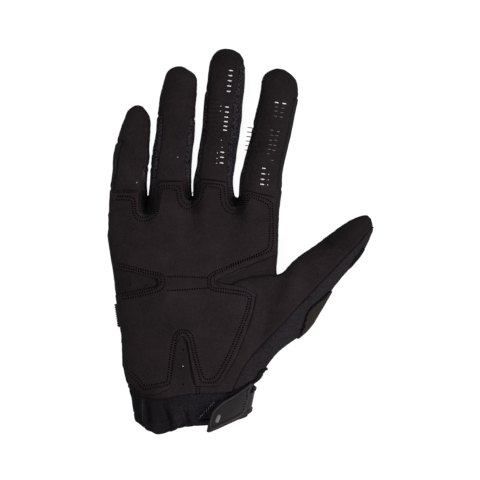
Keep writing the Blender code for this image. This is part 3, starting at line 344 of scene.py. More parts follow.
def build_cage():
    """The glove's whole outer surface as one mesh, open only at the wrist."""
    cage = bmesh.new()
    tags = cage.faces.layers.int.new("cloth")

    def bridge(lower, upper, label):
        """Quads between two strips of vertices, tagged with the cloth that they belong to."""
        for corners in zip(lower, lower[1:], upper[1:], upper):
            cage.faces.new(corners)[tags] = CLOTHS.index(label)

    def close_tip(ring, bulge, front_label, back_label):
        """Fill a tip with a grid of quads that bulges along the finger."""
        count = len(ring.front) - 1
        last = SIDE_POINTS + 1
        left, right = left_strip(ring), right_strip(ring)
        grid = [ring.front]
        for row in range(1, last):
            down = row / last
            line = [left[row]]
            for column in range(1, count):
                over = column / count
                point = left[row].co.lerp(right[row].co, over)
                point += ring.front[column].co.lerp(ring.back[column].co, down)
                flat = ring.front[0].co.lerp(ring.front[-1].co, over)
                point -= flat.lerp(ring.back[0].co.lerp(ring.back[-1].co, over), down)
                swell = (1.0 - (2.0 * over - 1.0) ** 2) * (1.0 - (2.0 * down - 1.0) ** 2)
                line.append(cage.verts.new(point + bulge * swell))
            grid.append(line + [right[row]])
        grid.append(ring.back)
        for row in range(last):
            bridge(grid[row], grid[row + 1], front_label if row < last // 2 else back_label)

    rows = [row_ring(cage, row) for row in PALM_ROWS]
    webs = shape_crotches(cage, rows)
    for number, (upper, lower) in enumerate(zip(rows, rows[1:])):
        in_cuff = number >= WRIST_ROW
        beside_thumb = THUMB_TOP_ROW <= number < WRIST_ROW
        split = THUMB_PANEL_COLUMN if beside_thumb else COLUMN_COUNT
        back = "cuff" if in_cuff else "back_panel"
        bridge(lower.front[:split + 1], upper.front[:split + 1], "cuff" if in_cuff else "palm_panel")
        bridge(lower.front[split:], upper.front[split:], "thumb_panel")
        bridge(upper.back, lower.back, back)
        bridge(left_strip(upper), left_strip(lower), back)
        if not beside_thumb:
            bridge(right_strip(lower), right_strip(upper), back)

    sides = ("back_panel",) + CLOTHS[-3:] + ("back_panel",)
    webs = [rows[0].left] + webs + [rows[0].right]
    for number, finger in enumerate(FINGERS):
        part = slice(number * COLUMNS_PER_FINGER, (number + 1) * COLUMNS_PER_FINGER + 1)
        base = Ring(rows[0].front[part], webs[number + 1], rows[0].back[part], webs[number])
        rings = [base] + finger_rings(cage, number, finger)
        for lower, upper in zip(rings, rings[1:]):
            bridge(lower.front, upper.front, "palm_panel")
            bridge(upper.back, lower.back, "back_panel")
            bridge(left_strip(upper), left_strip(lower), sides[number])
            bridge(right_strip(lower), right_strip(upper), sides[number + 1])
        close_tip(rings[-1], leaning(finger.lean)[0] * CAP_BULGE * finger.length, "palm_panel", "back_panel")

    thumb_rows = rows[THUMB_TOP_ROW:WRIST_ROW + 1]
    base = Ring([ring.front[-1] for ring in thumb_rows], thumb_rows[-1].right,
                [ring.back[-1] for ring in thumb_rows], thumb_rows[0].right)
    rings = [base] + thumb_rings(cage, len(thumb_rows))
    for lower, upper in zip(rings, rings[1:]):
        bridge(lower.front, upper.front, "thumb_panel")
        bridge(upper.back, lower.back, "thumb_side")
        bridge(left_strip(upper)[:3], left_strip(lower)[:3], "thumb_panel")
        bridge(left_strip(upper)[2:], left_strip(lower)[2:], "thumb_side")
        bridge(right_strip(lower), right_strip(upper), "thumb_side")
    close_tip(rings[-1], leaning(THUMB_LEAN)[0] * CAP_BULGE * THUMB_LENGTH, "thumb_panel", "thumb_side")
    cage.normal_update()
    return cage


def rounded_outline(corners):
    """Points of an outline whose corners are filleted to their own radius."""
    points = [palm_point(across, up) for across, up, _ in corners]
    outline = []
    for number, (here, (_, _, fillet)) in enumerate(zip(points, corners)):
        before = points[number - 1] - here
        after = points[(number + 1) % len(points)] - here
        setback = fillet * PALM_WIDTH / math.tan(0.5 * before.angle(after))
        setback = min(setback, 0.49 * before.length, 0.49 * after.length)
        if setback < 0.05 * MM:
            outline.append(here)
            continue
        start = here + before.normalized() * setback
        end = here + after.normalized() * setback
        for step in range(FILLET_STEPS + 1):
            share = step / FILLET_STEPS
            outline.append(start.lerp(here, share).lerp(here.lerp(end, share), share))
    return np.array([(point.x, point.y) for point in outline])


def patch_edge():
    """The patch's toothed edge in XY."""
    low, high = palm_point(*PATCH_TEETH_LOW), palm_point(*PATCH_TEETH_HIGH)
    edge = (high - low).normalized()
    outward = Vector((-edge.y, edge.x, 0.0))
    count = 2 * PATCH_TEETH
    points = [low.lerp(high, step / count) + outward * (PATCH_TOOTH_DEPTH * (step % 2))
              for step in range(count + 1)]
    return [(point.x, point.y) for point in points]


def at_pixels(points):
    """World X and Y of places given in the photograph's pixels."""
    return np.array([((x - MIDDLE_X) * PIXEL, (MIDDLE_Y - y) * PIXEL) for x, y in points])


def to_pixels(line):
    """The photograph's pixels of places in world X and Y."""
    return [(x / PIXEL + MIDDLE_X, MIDDLE_Y - y / PIXEL) for x, y in line]


def resample(line, pitch):
    """Points at an even pitch along an open line, and the line's direction at each."""
    line = np.asarray(line, float)
    lengths = np.linalg.norm(np.diff(line, axis=0), axis=1)
    along = np.concatenate([[0.0], np.cumsum(lengths)])
    count = max(int(round(along[-1] / pitch)), 1)
    places = np.linspace(0.0, along[-1], count + 1)
    points = np.stack([np.interp(places, along, line[:, k]) for k in range(line.shape[1])], 1)
    ways = np.gradient(points, axis=0)
    ways /= np.maximum(np.linalg.norm(ways, axis=1, keepdims=True), 1e-9)
    return points, ways


def drawn_line(row, closed=False):
    """A line of pixels in world X and Y, its corners cut twice so that it bends smoothly."""
    line = at_pixels(row)
    for _ in range(2):
        after = np.roll(line, -1, axis=0)
        cuts = np.stack([0.75 * line + 0.25 * after, 0.25 * line + 0.75 * after], 1).reshape(-1, 2)
        line = cuts if closed else np.concatenate([line[:1], cuts[1:-3], line[-1:]])
    return line


def distance_to_line(points, line, closed=False):
    """Distance in XY from each point to a line, and its side: positive on the line's right."""
    line = np.asarray(line, float)
    if closed:
        line = np.concatenate([line, line[:1]])
    best = np.full(len(points), 1e9)
    side = np.zeros(len(points))
    for start, end in zip(line[:-1], line[1:]):
        way = end - start
        size = max(way @ way, 1e-18)
        rel = points[:, :2] - start
        share = np.clip((rel @ way) / size, 0.0, 1.0)
        gap = rel - share[:, None] * way
        dist = np.hypot(gap[:, 0], gap[:, 1])
        cross = rel[:, 0] * way[1] - rel[:, 1] * way[0]
        near = dist < best
        best[near] = dist[near]
        side[near] = np.sign(cross[near])
    return best, side


def inside_outline(points, outline):
    """Which points lie inside a closed outline in XY."""
    inside = np.zeros(len(points), bool)
    x, y = points[:, 0], points[:, 1]
    for (x0, y0), (x1, y1) in zip(outline, np.roll(outline, -1, axis=0)):
        if y0 == y1:
            continue
        crosses = (y0 > y) != (y1 > y)
        inside ^= crosses & (x < x0 + (y - y0) * (x1 - x0) / (y1 - y0))
    return inside


def noise_at(points, scale, seed, octaves=3):
    """Smooth noise between about -1 and 1, as a sum of plane waves in space."""
    draw = np.random.default_rng(seed)
    total = np.zeros(len(points))
    size = 1.0
    norm = 0.0
    for _ in range(octaves):
        for _ in range(7):
            way = draw.normal(size=3)
            way *= draw.uniform(0.6, 1.4) / (np.linalg.norm(way) * scale)
            total += size * np.sin(2.0 * math.pi * (points @ way) + draw.uniform(0.0, 6.3))
        norm += size * 7.0 ** 0.5
        scale *= 0.5
        size *= 0.5
    return total / norm


def smooth_step(low, high, value):
    """0 below low, 1 above high and a smooth climb between them."""
    share = np.clip((value - low) / (high - low), 0.0, 1.0)
    return share * share * (3.0 - 2.0 * share)


def facing(points, quads):
    """Cross product of each quad's diagonals, which points out of it."""
    a, b, c, d = (points[quads[:, k]] for k in range(4))
    return np.cross(c - a, d - b)


def upward(ways):
    """How far up each vector points, from -1 to 1."""
    return ways[:, 2] / np.maximum(np.linalg.norm(ways, axis=1), 1e-12)


def vertex_normals(points, quads):
    """Area-weighted normals of a quad mesh's vertices."""
    flat = facing(points, quads)
    normals = np.zeros_like(points)
    for k in range(4):
        np.add.at(normals, quads[:, k], flat)
    return normals / np.maximum(np.linalg.norm(normals, axis=1, keepdims=True), 1e-12)


def dense_surface():
    """The glove's outer surface as fine quads: points, quads and the cloth of each quad."""
    cage = build_cage()
    mesh = bpy.data.meshes.new("cage")
    cage.to_mesh(mesh)
    thing = bpy.data.objects.new("cage", mesh)
    bpy.context.scene.collection.objects.link(thing)
    finer = thing.modifiers.new("finer", "SUBSURF")
    finer.levels = finer.render_levels = LEVEL
    count = len(mesh.vertices)
    wanted = np.zeros(count * 3)
    mesh.vertices.foreach_get("co", wanted)
    shape = wanted.copy()
    for step in range(3):
        graph = bpy.context.evaluated_depsgraph_get()
        graph.update()
        made = thing.evaluated_get(graph).to_mesh()
        points = np.zeros(len(made.vertices) * 3)
        made.vertices.foreach_get("co", points)
        if step < 2:
            shape += 0.85 * (wanted - points[:count * 3])
            mesh.vertices.foreach_set("co", shape)
            mesh.update()
    points = points.reshape(-1, 3)
    quads = np.zeros(len(made.loops), int)
    made.loops.foreach_get("vertex_index", quads)
    quads = quads.reshape(-1, 4)
    cloth = np.zeros(len(quads), int)
    made.attributes["cloth"].data.foreach_get("value", cloth)
    bpy.data.objects.remove(thing)
    return points, quads, cloth


def edges_of(faces):
    """Edges of faces that have equally many corners, and the face of each edge."""
    corners = faces.shape[1]
    pairs = np.concatenate([faces[:, [k, (k + 1) % corners]] for k in range(corners)])
    return pairs, np.tile(np.arange(len(faces)), corners)


def rim_walls(faces, count):
    """Quads from a sheet's open edge to that of its copy, whose vertices come count later."""
    pairs, _ = edges_of(faces)
    keys = np.sort(pairs, axis=1)
    _, first, times = np.unique(keys, axis=0, return_index=True, return_counts=True)
    rim = pairs[first[times == 1]]
    return np.stack([rim[:, 1], rim[:, 0], rim[:, 0] + count, rim[:, 1] + count], 1)


def seam_edges(quads, cloth):
    """Edges between unlike cloths, and edges of only one quad."""
    pairs, owner = edges_of(quads)
    keys = np.sort(pairs, axis=1)
    order = np.lexsort((keys[:, 1], keys[:, 0]))
    keys, owner = keys[order], owner[order]
    same = (keys[1:] == keys[:-1]).all(1)
    first = np.flatnonzero(same)
    unlike = cloth[owner[first]] != cloth[owner[first + 1]]
    seams = keys[first[unlike]]
    paired = np.zeros(len(keys), bool)
    paired[first] = True
    paired[first + 1] = True
    return seams, keys[~paired]


def distance_to_edges(points, edges, reach):
    """Distance from every point to the nearest edge's line, read at points along the edges."""
    shares = np.linspace(0.0, 1.0, 4)[:-1]
    marks = np.concatenate([
        points[edges[:, 0]] * (1.0 - s) + points[edges[:, 1]] * s for s in shares
    ])
    tree = KDTree(len(marks))
    for number, mark in enumerate(marks):
        tree.insert(mark, number)
    tree.balance()
    found = np.array([tree.find(point)[2] for point in points])
    return np.minimum(found, reach)


def new_piece(name, verts, faces, material, replaced=(), smooth=40.0):
    """A piece of the visual model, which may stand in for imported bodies."""
    mesh = bpy.data.meshes.new(name)
    mesh.from_pydata(np.asarray(verts).tolist(), [], [list(map(int, f)) for f in faces])
    mesh.validate()
    thing = bpy.data.objects.new(name, mesh)
    bpy.context.scene.collection.objects.link(thing)
    mesh.materials.append(material)
    mesh.shade_smooth()
    mesh.set_sharp_from_angle(angle=math.radians(smooth))
    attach(thing, "root")
    if replaced:
        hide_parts(*replaced)
    return thing


def put_values(thing, name, values):
    """Gives each of a piece's vertices a number that its material can read."""
    layer = thing.data.attributes.new(name, "FLOAT", "POINT")
    layer.data.foreach_set("value", np.asarray(values, np.float32))


def cloth_shell(name, points, normals, quads, wall, material, replaced, values):
    """A closed wall of cloth under some of the dense surface's quads."""
    used, inverse = np.unique(quads, return_inverse=True)
    quads = inverse.reshape(-1, 4)
    count = len(used)
    verts = np.concatenate([points[used], points[used] - normals[used] * wall])
    faces = np.concatenate([quads, quads[:, ::-1] + count, rim_walls(quads, count)])
    thing = new_piece(name, verts, faces, material, replaced)
    for key, value in values.items():
        put_values(thing, key, np.tile(value[used], 2))


def bvh_of(points, faces):
    """A surface's search tree, for rays and nearest points."""
    return BVHTree.FromPolygons([Vector(p) for p in points], [list(map(int, f)) for f in faces])


def drop_first(trees, places):
    """Points and normals of whichever surface is the highest below each place in XY."""
    spots, normals = [], []
    for x, y in places:
        hits = [tree.ray_cast(Vector((x, y, ABOVE_ALL)), DOWN)[:2] for tree in trees]
        hits = [hit for hit in hits if hit[0] is not None]
        if hits:
            spot, normal = max(hits, key=lambda hit: hit[0].z)
        else:
            spot, normal = trees[0].find_nearest(Vector((x, y, MID_HEIGHT)))[:2]
            spot = Vector((x, y, spot.z))
        spots.append(spot)
        normals.append(normal if normal.z > 0.0 else -normal)
    return np.array(spots), np.array(normals)


def inset(outline, reach):
    """A closed outline drawn inwards by a small reach."""
    before = np.roll(outline, 1, axis=0)
    after = np.roll(outline, -1, axis=0)
    way = after - before
    way /= np.maximum(np.linalg.norm(way, axis=1, keepdims=True), 1e-12)
    inward = np.stack([way[:, 1], -way[:, 0]], 1)
    area = 0.5 * np.sum(outline[:, 0] * after[:, 1] - outline[:, 1] * after[:, 0])
    return outline + inward * reach * (1.0 if area < 0.0 else -1.0)


def laid_piece(name, outline, tree, lift, wall, bevel, spacing, material,
               replaced=(), relief=None):
    """A sheet with a rounded edge that lies on a surface inside an outline in XY."""
    outline = np.asarray(outline)
    rings = [outline] + [inset(outline, bevel * s) for s in (0.2, 0.55, 1.0)]
    low, high = outline.min(0), outline.max(0)
    xs = np.arange(low[0], high[0], spacing)
    ys = np.arange(low[1], high[1], spacing)
    grid = np.stack(np.meshgrid(xs, ys), -1).reshape(-1, 2)
    grid += rng.uniform(-0.12, 0.12, grid.shape) * spacing
    near, _ = distance_to_line(grid, outline[::2], closed=True)
    grid = grid[inside_outline(grid, outline) & (near > 1.5 * bevel)]
    flat = np.concatenate(rings + [grid])
    size = len(outline)
    edges = [(first + k, first + (k + 1) % size)
             for first in range(0, len(rings) * size, size) for k in range(size)]
    made = delaunay_2d_cdt([Vector(p) for p in flat], edges, [], 1, 1e-7, False)
    flat = np.array([(v[0], v[1]) for v in made[0]])
    faces = np.array([list(f) for f in made[2]])
    faces = faces[inside_outline(flat[faces].mean(1), outline)]
    spots, normals = drop_first((tree,), flat)
    near, _ = distance_to_line(flat, outline, closed=True)
    share = np.clip(near / bevel, 0.0, 1.0)
    height = wall * (0.35 + 0.65 * np.sqrt(1.0 - (1.0 - share) ** 2))
    if relief is not None:
        height = height + relief(flat, near)
    top = spots + normals * (lift + height)[:, None]
    bottom = spots + normals * lift
    count = len(flat)
    a, b, c = (flat[faces[:, k]] for k in range(3))
    turn = (b[:, 0] - a[:, 0]) * (c[:, 1] - a[:, 1]) - (b[:, 1] - a[:, 1]) * (c[:, 0] - a[:, 0])
    faces[turn < 0.0] = faces[turn < 0.0][:, ::-1]
    thing = new_piece(
        name, np.concatenate([top, bottom]),
        [*faces, *(faces[:, ::-1] + count), *rim_walls(faces, count)], material, replaced,
        smooth=60.0,
    )
    put_values(thing, "edge", np.tile(near / MM, 2))
    return thing, bvh_of(top, faces)


def node_material(name, colour, roughness, spec):
    """A Principled material and the nodes that its colour and bumps are built from."""
    material = bpy.data.materials.new(name)
    material.use_nodes = True
    tree = material.node_tree
    shader = tree.nodes["Principled BSDF"]
    shader.inputs["Base Color"].default_value = (*colour, 1.0)
    shader.inputs["Roughness"].default_value = roughness
    shader.inputs["Specular IOR Level"].default_value = spec
    return material, tree, shader


def add_node(tree, kind, inputs=None, **settings):
    """A shader node whose inputs are given as numbers or as other nodes' outputs."""
    node = tree.nodes.new(kind)
    for key, value in settings.items():
        setattr(node, key, value)
    for key, value in (inputs or {}).items():
        if isinstance(value, bpy.types.NodeSocket):
            tree.links.new(value, node.inputs[key])
        else:
            node.inputs[key].default_value = value
    return node


def place_in(tree):
    """Places on a piece in metres, for its textures."""
    return add_node(tree, "ShaderNodeTexCoord").outputs["Object"]


def noise_in(tree, place, scale, detail, rough):
    node = add_node(tree, "ShaderNodeTexNoise", {
        "Vector": place, "Scale": scale, "Detail": detail, "Roughness": rough,
    })
    return node.outputs["Fac"]


def ramp_in(tree, value, stops):
    node = add_node(tree, "ShaderNodeValToRGB", {"Fac": value})
    ramp = node.color_ramp
    while len(ramp.elements) < len(stops):
        ramp.elements.new(0.5)
    for element, (place, colour) in zip(ramp.elements, stops):
        element.position = place
        element.color = (*colour, 1.0)
    return node.outputs["Color"]


def maths(tree, operation, first, second, third=0.0):
    return add_node(tree, "ShaderNodeMath", {0: first, 1: second, 2: third},
                    operation=operation).outputs[0]


def bump_in(tree, height, distance, strength, normal=None):
    inputs = {"Height": height, "Distance": distance, "Strength": strength}
    if normal is not None:
        inputs["Normal"] = normal
    return add_node(tree, "ShaderNodeBump", inputs).outputs["Normal"]


def value_in(tree, name):
    """A number that a piece's vertices carry."""
    return add_node(tree, "ShaderNodeAttribute", attribute_name=name).outputs["Fac"]


def shaded(tree, colour, value, stops):
    """A colour made darker or lighter by a vertex value, by stops of (value, factor)."""
    top = stops[-1][0]
    share = maths(tree, "DIVIDE", value_in(tree, value), top)
    shade = ramp_in(tree, share, [(place / top, (factor,) * 3) for place, factor in stops])
    mixed = add_node(tree, "ShaderNodeMix", data_type="RGBA", blend_type="MULTIPLY")
    mixed.inputs[0].default_value = 1.0
    tree.links.new(colour, mixed.inputs[6])
    tree.links.new(shade, mixed.inputs[7])
    return mixed.outputs[2]


def suede(name, low, high, marks):
    """Napped suede: broad mottling, fine nap, pale flecks, and darker or lighter where its marks say, which
    paint shade and light.
    """
    material, tree, shader = node_material(name, low, 0.95, 0.08)
    place = place_in(tree)
    blotch = noise_in(tree, place, 55.0, 4.0, 0.65)
    nap = noise_in(tree, place, 950.0, 3.0, 0.75)
    mixed = maths(tree, "MULTIPLY_ADD", nap, 0.55, maths(tree, "MULTIPLY", blotch, 0.45))
    colour = ramp_in(tree, mixed, ((0.37, low), (0.63, high)))
    for value, stops in marks:
        colour = shaded(tree, colour, value, stops)
    tree.links.new(colour, shader.inputs["Base Color"])
    fine = noise_in(tree, place, 2600.0, 2.0, 0.6)
    first = bump_in(tree, fine, 0.00022, 0.5)
    second = bump_in(tree, nap, 0.0004, 0.6, first)
    tree.links.new(second, shader.inputs["Normal"])
    return material


def knit(name, low, high, pitch, marks=(), depth=0.0003, contrast=0.16):
    """Knitted or open-meshed cloth: small cells with darker gaps, at a pitch in metres."""
    material, tree, shader = node_material(name, low, 0.9, 0.08)
    place = place_in(tree)
    cells = add_node(tree, "ShaderNodeTexVoronoi", {"Vector": place, "Scale": 1.0 / pitch},
                     feature="F1").outputs["Distance"]
    blotch = noise_in(tree, place, 260.0, 3.0, 0.7)
    mottled = maths(tree, "MULTIPLY_ADD", blotch, 0.3, 0.7)
    mixed = maths(tree, "MULTIPLY_ADD", cells, -0.7, mottled)
    colour = ramp_in(tree, mixed, ((0.52 - contrast, low), (0.52 + contrast, high)))
    for value, stops in marks:
        colour = shaded(tree, colour, value, stops)
    tree.links.new(colour, shader.inputs["Base Color"])
    tree.links.new(bump_in(tree, cells, -depth, 0.8), shader.inputs["Normal"])
    return material


def moulded(name, low, high, rough, scale, spec, depth=0.0001):
    """Smooth moulded rubber or print with a little grain."""
    material, tree, shader = node_material(name, low, rough, spec)
    place = place_in(tree)
    grain = noise_in(tree, place, scale, 3.0, 0.6)
    tree.links.new(ramp_in(tree, grain, ((0.35, low), (0.65, high))), shader.inputs["Base Color"])
    tree.links.new(bump_in(tree, grain, depth, 0.5), shader.inputs["Normal"])
    return material


def laid_down(ways, normals):
    """Directions in XY laid on a surface as unit vectors, and those to their side."""
    ways = np.pad(ways, ((0, 0), (0, 1)))
    ways -= normals * (ways * normals).sum(1, keepdims=True)
    ways /= np.linalg.norm(ways, axis=1, keepdims=True)
    return ways, np.cross(normals, ways)


def beads(name, spots, ways, normals, sizes, material, power=2.0):
    """Small closed rounded bodies on a surface, by half length, half width and height."""
    ways, sides = laid_down(ways, normals)
    length, width, height = sizes
    steps, turns = 5, 8
    verts, faces = [], []
    for share in np.sin(np.linspace(-0.5, 0.5, steps) * math.pi):
        size = max(max(1.0 - abs(share) ** power, 0.0) ** (1.0 / power), 0.02)
        for turn in range(turns):
            angle = 2.0 * math.pi * turn / turns
            across = math.copysign(abs(math.cos(angle)) ** (2.0 / power), math.cos(angle)) * size
            up = math.copysign(abs(math.sin(angle)) ** (2.0 / power), math.sin(angle)) * size
            verts.append(spots + ways * length * share + sides * width * across + normals * height * up)
    count = steps * turns
    for step in range(0, count - turns, turns):
        for turn in range(turns):
            a, b = step + turn, step + (turn + 1) % turns
            faces.append((a, b, b + turns, a + turns))
    faces += [tuple(range(turns))[::-1], tuple(range(count - turns, count))]
    all_faces = [[index + number * count for index in face]
                 for number in range(len(spots)) for face in faces]
    new_piece(name, np.stack(verts, 1).reshape(-1, 3), all_faces, material, smooth=80.0)


def along_rows(rows, pitch, trees):
    """Places, directions and normals at an even pitch along rows of pixels on a surface."""
    lines = [resample(drawn_line(row), pitch) for row in rows]
    places, ways = (np.concatenate(parts) for parts in zip(*lines))
    spots, normals = drop_first(trees, places)
    return spots, ways, normals


def rounded_copy(name, node, material, bevel):
    """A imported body's surface with its hard edges rounded, which stands in for it."""
    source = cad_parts[node]
    made = bmesh.new()
    made.from_mesh(source.data)
    made.transform(source.matrix_world)
    bmesh.ops.remove_doubles(made, verts=made.verts[:], dist=1e-6)
    bmesh.ops.dissolve_limit(
        made, angle_limit=math.radians(2.0), verts=made.verts[:], edges=made.edges[:])
    hard = [edge for edge in made.edges
            if len(edge.link_faces) == 2 and edge.calc_face_angle() > math.radians(50.0)]
    bmesh.ops.bevel(made, geom=hard, offset=bevel, segments=3, affect="EDGES",
                    clamp_overlap=True, profile=0.55)
    bmesh.ops.triangulate(made, faces=made.faces[:])
    made.verts.index_update()
    verts = np.array([tuple(vert.co) for vert in made.verts])
    faces = np.array([[vert.index for vert in face.verts] for face in made.faces])
    made.free()
    new_piece(name, verts, faces, material, (node,), smooth=35.0)
    return verts, faces


def crease(points, normals, line, width, depth):
    """Heights of a crease along a line of pixels, with a low welt on both its sides."""
    line = drawn_line(line)
    low, high = line.min(0) - 5.0 * width, line.max(0) + 5.0 * width
    near = ((points[:, :2] > low) & (points[:, :2] < high)).all(1) & (normals[:, 2] > 0.0)
    height = np.zeros(len(points))
    dist, _ = distance_to_line(points[near], line)
    start = np.hypot(*(points[near, :2] - line[0]).T)
    end = np.hypot(*(points[near, :2] - line[-1]).T)
    fade = smooth_step(0.0, 2.5 * width, start) * smooth_step(0.0, 2.5 * width, end)
    height[near] = fade * depth * (0.35 * np.exp(-((dist - 2.1 * width) / width) ** 2)
                                   - np.exp(-(dist / width) ** 2))
    return height * smooth_step(0.0, 0.35, normals[:, 2])


def ribbons(name, lines, trees, material, half, height):
    """Thin closed tapes laid on a surface along lines of pixels; sizes in millimetres."""
    verts, faces = [], []
    for line in lines:
        points, ways = resample(drawn_line(line), 0.45 * MM)
        spots, normals = drop_first(trees, points)
        _, sides = laid_down(ways, normals)
        count = len(points)
        taper = np.minimum(np.arange(count), np.arange(count)[::-1]) / 3.0
        width = (half * MM * np.clip(0.35 + taper, 0.0, 1.0))[:, None]
        first = sum(len(part) for part in verts)
        corners = [spots + sides * width * across + normals * up * MM for across, up in (
            (-1.0, -0.08), (-0.6, height), (0.6, height), (1.0, -0.08))]
        verts.append(np.stack(corners, 1).reshape(-1, 3))
        last = first + 4 * (count - 1)
        for start in range(first, last, 4):
            for turn in range(4):
                a, b = start + turn, start + (turn + 1) % 4
                faces.append((a, b, b + 4, a + 4))
        faces.append((first, first + 3, first + 2, first + 1))
        faces.append((last, last + 1, last + 2, last + 3))
    new_piece(name, np.concatenate(verts), faces, material, smooth=60.0)


# Painted shade and light, with some of the suede's own tone: darker or lighter where a vertex value says so:
# stops of (value, factor).
# Painted shadow: a thin dark line on the suede round the overlay's edge.
LAP_SHADOW = (("lap", ((0.0, 0.45), (0.5, 0.65), (1.0, 1.0), (3.0, 1.0))),)
# Painted shade: a dark line along each crease.
FOLD_SHADE = (("fold", ((0.0, 0.34), (0.7, 0.75), (1.2, 1.0), (3.0, 1.0))),)
# Painted shade: darker where the surface turns from facing up towards its sides and edges.
TURN_SHADE = (("turn", ((0.0, 0.42), (0.35, 0.62), (0.75, 1.0), (1.0, 1.0))),)
# Painted shade and light, with some of the suede's own uneven tone, from the patches listed below.
SHADE_AND_TONE = (("shade_and_tone", ((0.0, 0.0), (1.3, 1.3))),)
# Painted shade in the seams' grooves and a painted highlight on the welt just beside them.
SEAM_SHADE = (("seam", ((0.0, 0.42), (0.35, 0.60), (0.8, 1.08), (2.2, 1.0), (4.0, 1.0))),)
# Painted shade and highlight on the overlay: dark at its very edge with a lighter band just inside it,
# darker along its stitch rows and a little lighter between them.
EDGE_AND_ROW_SHADE = (("edge", ((0.0, 0.45), (0.3, 0.95), (0.7, 1.16), (1.6, 1.0), (3.0, 1.0))),
        ("row", ((0.0, 0.90), (0.5, 0.95), (0.9, 1.04), (3.0, 1.0))))
# Painted shade: the suede and the mesh turn near black towards the crotches between the fingers.
CROTCH_SHADE = (("deep", ((0.0, 0.20), (0.9, 0.30), (1.4, 0.80), (2.0, 1.0), (3.0, 1.0))),)
MESH_CROTCH_SHADE = (("deep", ((0.0, 0.10), (0.9, 0.22), (1.5, 0.70), (2.2, 1.0), (3.0, 1.0))),)
SUEDE = suede("palm_suede", (0.0040, 0.0026, 0.0031), (0.0104, 0.0073, 0.0081),
              SEAM_SHADE + LAP_SHADOW + CROTCH_SHADE + FOLD_SHADE + TURN_SHADE + SHADE_AND_TONE)
OVERLAY = suede("overlay_suede", (0.0045, 0.0031, 0.0033), (0.0107, 0.0072, 0.0090), EDGE_AND_ROW_SHADE + SHADE_AND_TONE)
STRETCH = knit("stretch_fabric", (0.0040, 0.0030, 0.0040), (0.0112, 0.0088, 0.0112), 0.00055,
               SEAM_SHADE + TURN_SHADE)
NETTING = knit("gusset_mesh", (0.0018, 0.0013, 0.0022), (0.0170, 0.0135, 0.0185), 0.0009, MESH_CROTCH_SHADE + TURN_SHADE,
               depth=0.0005, contrast=0.12)
ELASTIC = knit("cuff_elastic", (0.0022, 0.0016, 0.0026), (0.0080, 0.0064, 0.0090), 0.00075,
               SEAM_SHADE + FOLD_SHADE + TURN_SHADE + SHADE_AND_TONE, contrast=0.24)
TAPE = knit("binding_tape", (0.0014, 0.0010, 0.0014), (0.0038, 0.0030, 0.0038), 0.0006)
LOOPS = knit("loop_patch", (0.0012, 0.0009, 0.0014), (0.0060, 0.0052, 0.0070), 0.0008, contrast=0.12)
RUBBER = moulded("strap_rubber", (0.0040, 0.0030, 0.0037), (0.0062, 0.0048, 0.0058), 0.6, 900.0, 0.12)
PANEL = moulded("strap_panel", (0.0044, 0.0031, 0.0039), (0.0070, 0.0052, 0.0064), 0.65, 900.0, 0.12)
# Painted highlight: the strap's rubber made lighter on the raised rim of its tab.
RIM_HIGHLIGHT = moulded("strap_rim_highlight", (0.0080, 0.0062, 0.0075), (0.0112, 0.0090, 0.0106), 0.55, 900.0, 0.2)
PALE_RUBBER = moulded("pale_rubber", (0.044, 0.041, 0.045), (0.072, 0.068, 0.073), 0.5, 900.0, 0.3)
OLIVE = moulded("olive_guard", (0.0055, 0.0044, 0.0038), (0.0090, 0.0073, 0.0062), 0.8, 900.0, 0.08, 0.0002)
# Near black: the thumb tip's dark patch, and painted shade in lines along edges, folds, seams and grooves.
DARK_PATCH_AND_SHADE = moulded("dark_patch_and_shade", (0.0014, 0.0010, 0.0013), (0.0025, 0.0019, 0.0024), 0.9, 900.0, 0.05)
THREAD = moulded("thread", (0.0085, 0.0066, 0.0076), (0.0145, 0.0115, 0.0130), 0.8, 2400.0, 0.15)
PALE_THREAD = moulded("pale_thread", (0.020, 0.018, 0.021), (0.046, 0.042, 0.046), 0.8, 2400.0, 0.2)
SEAM_THREAD = moulded("seam_thread", (0.009, 0.0075, 0.009), (0.020, 0.017, 0.020), 0.8, 2400.0, 0.1)
DIM = moulded("dim_rib", (0.0026, 0.0018, 0.0026), (0.0046, 0.0034, 0.0044), 0.9, 900.0, 0.05)
# Painted highlight along ridges and edges.
DIM_HIGHLIGHT = moulded("dim_highlight", (0.011, 0.009, 0.011), (0.019, 0.016, 0.019), 0.9, 900.0, 0.05)
# Painted shade: near-black dots that stand for the shade inside needle holes, perforations and eyelets.
HOLE_SHADE = moulded("needle_hole_shade", (0.0005, 0.0004, 0.0005), (0.0009, 0.0007, 0.0008), 1.0, 900.0, 0.0)
# Painted highlight: the glossy silicone print made pale where it glints, and a darker copy of it where it
# does not.
SILICONE_GLINT = moulded("silicone_print", (0.33, 0.32, 0.33), (0.42, 0.41, 0.42), 0.3, 600.0, 0.5)
SHADED_SILICONE = moulded("shaded_print", (0.018, 0.016, 0.018), (0.048, 0.044, 0.047), 0.45, 600.0, 0.4)
CLOTH_LOOKS = 2 * ((SUEDE, "palm_suede"),) + 2 * ((STRETCH, "stretch_fabric"),) + (
    (ELASTIC, "cuff_elastic"),) + 3 * ((NETTING, "gusset_mesh"),)


# Lines of the design, in the photograph's pixels.
THUMB_SEAM = at_pixels((
    (372, 228), (368, 232), (357.5, 244), (342.5, 259), (327.5, 275), (312.5, 290),
    (297.5, 306), (282.5, 322.5), (267.5, 337.5), (252.5, 354), (244, 365), (236, 380),
    (232.5, 389), (231, 395),
))
PALM_HEM = ((229, 392.4), (213, 393.2), (200, 393.4), (190, 394), (180, 395.4), (170, 397.6),
            (163, 399.4), (155, 399.8), (140, 397), (131, 393.5))
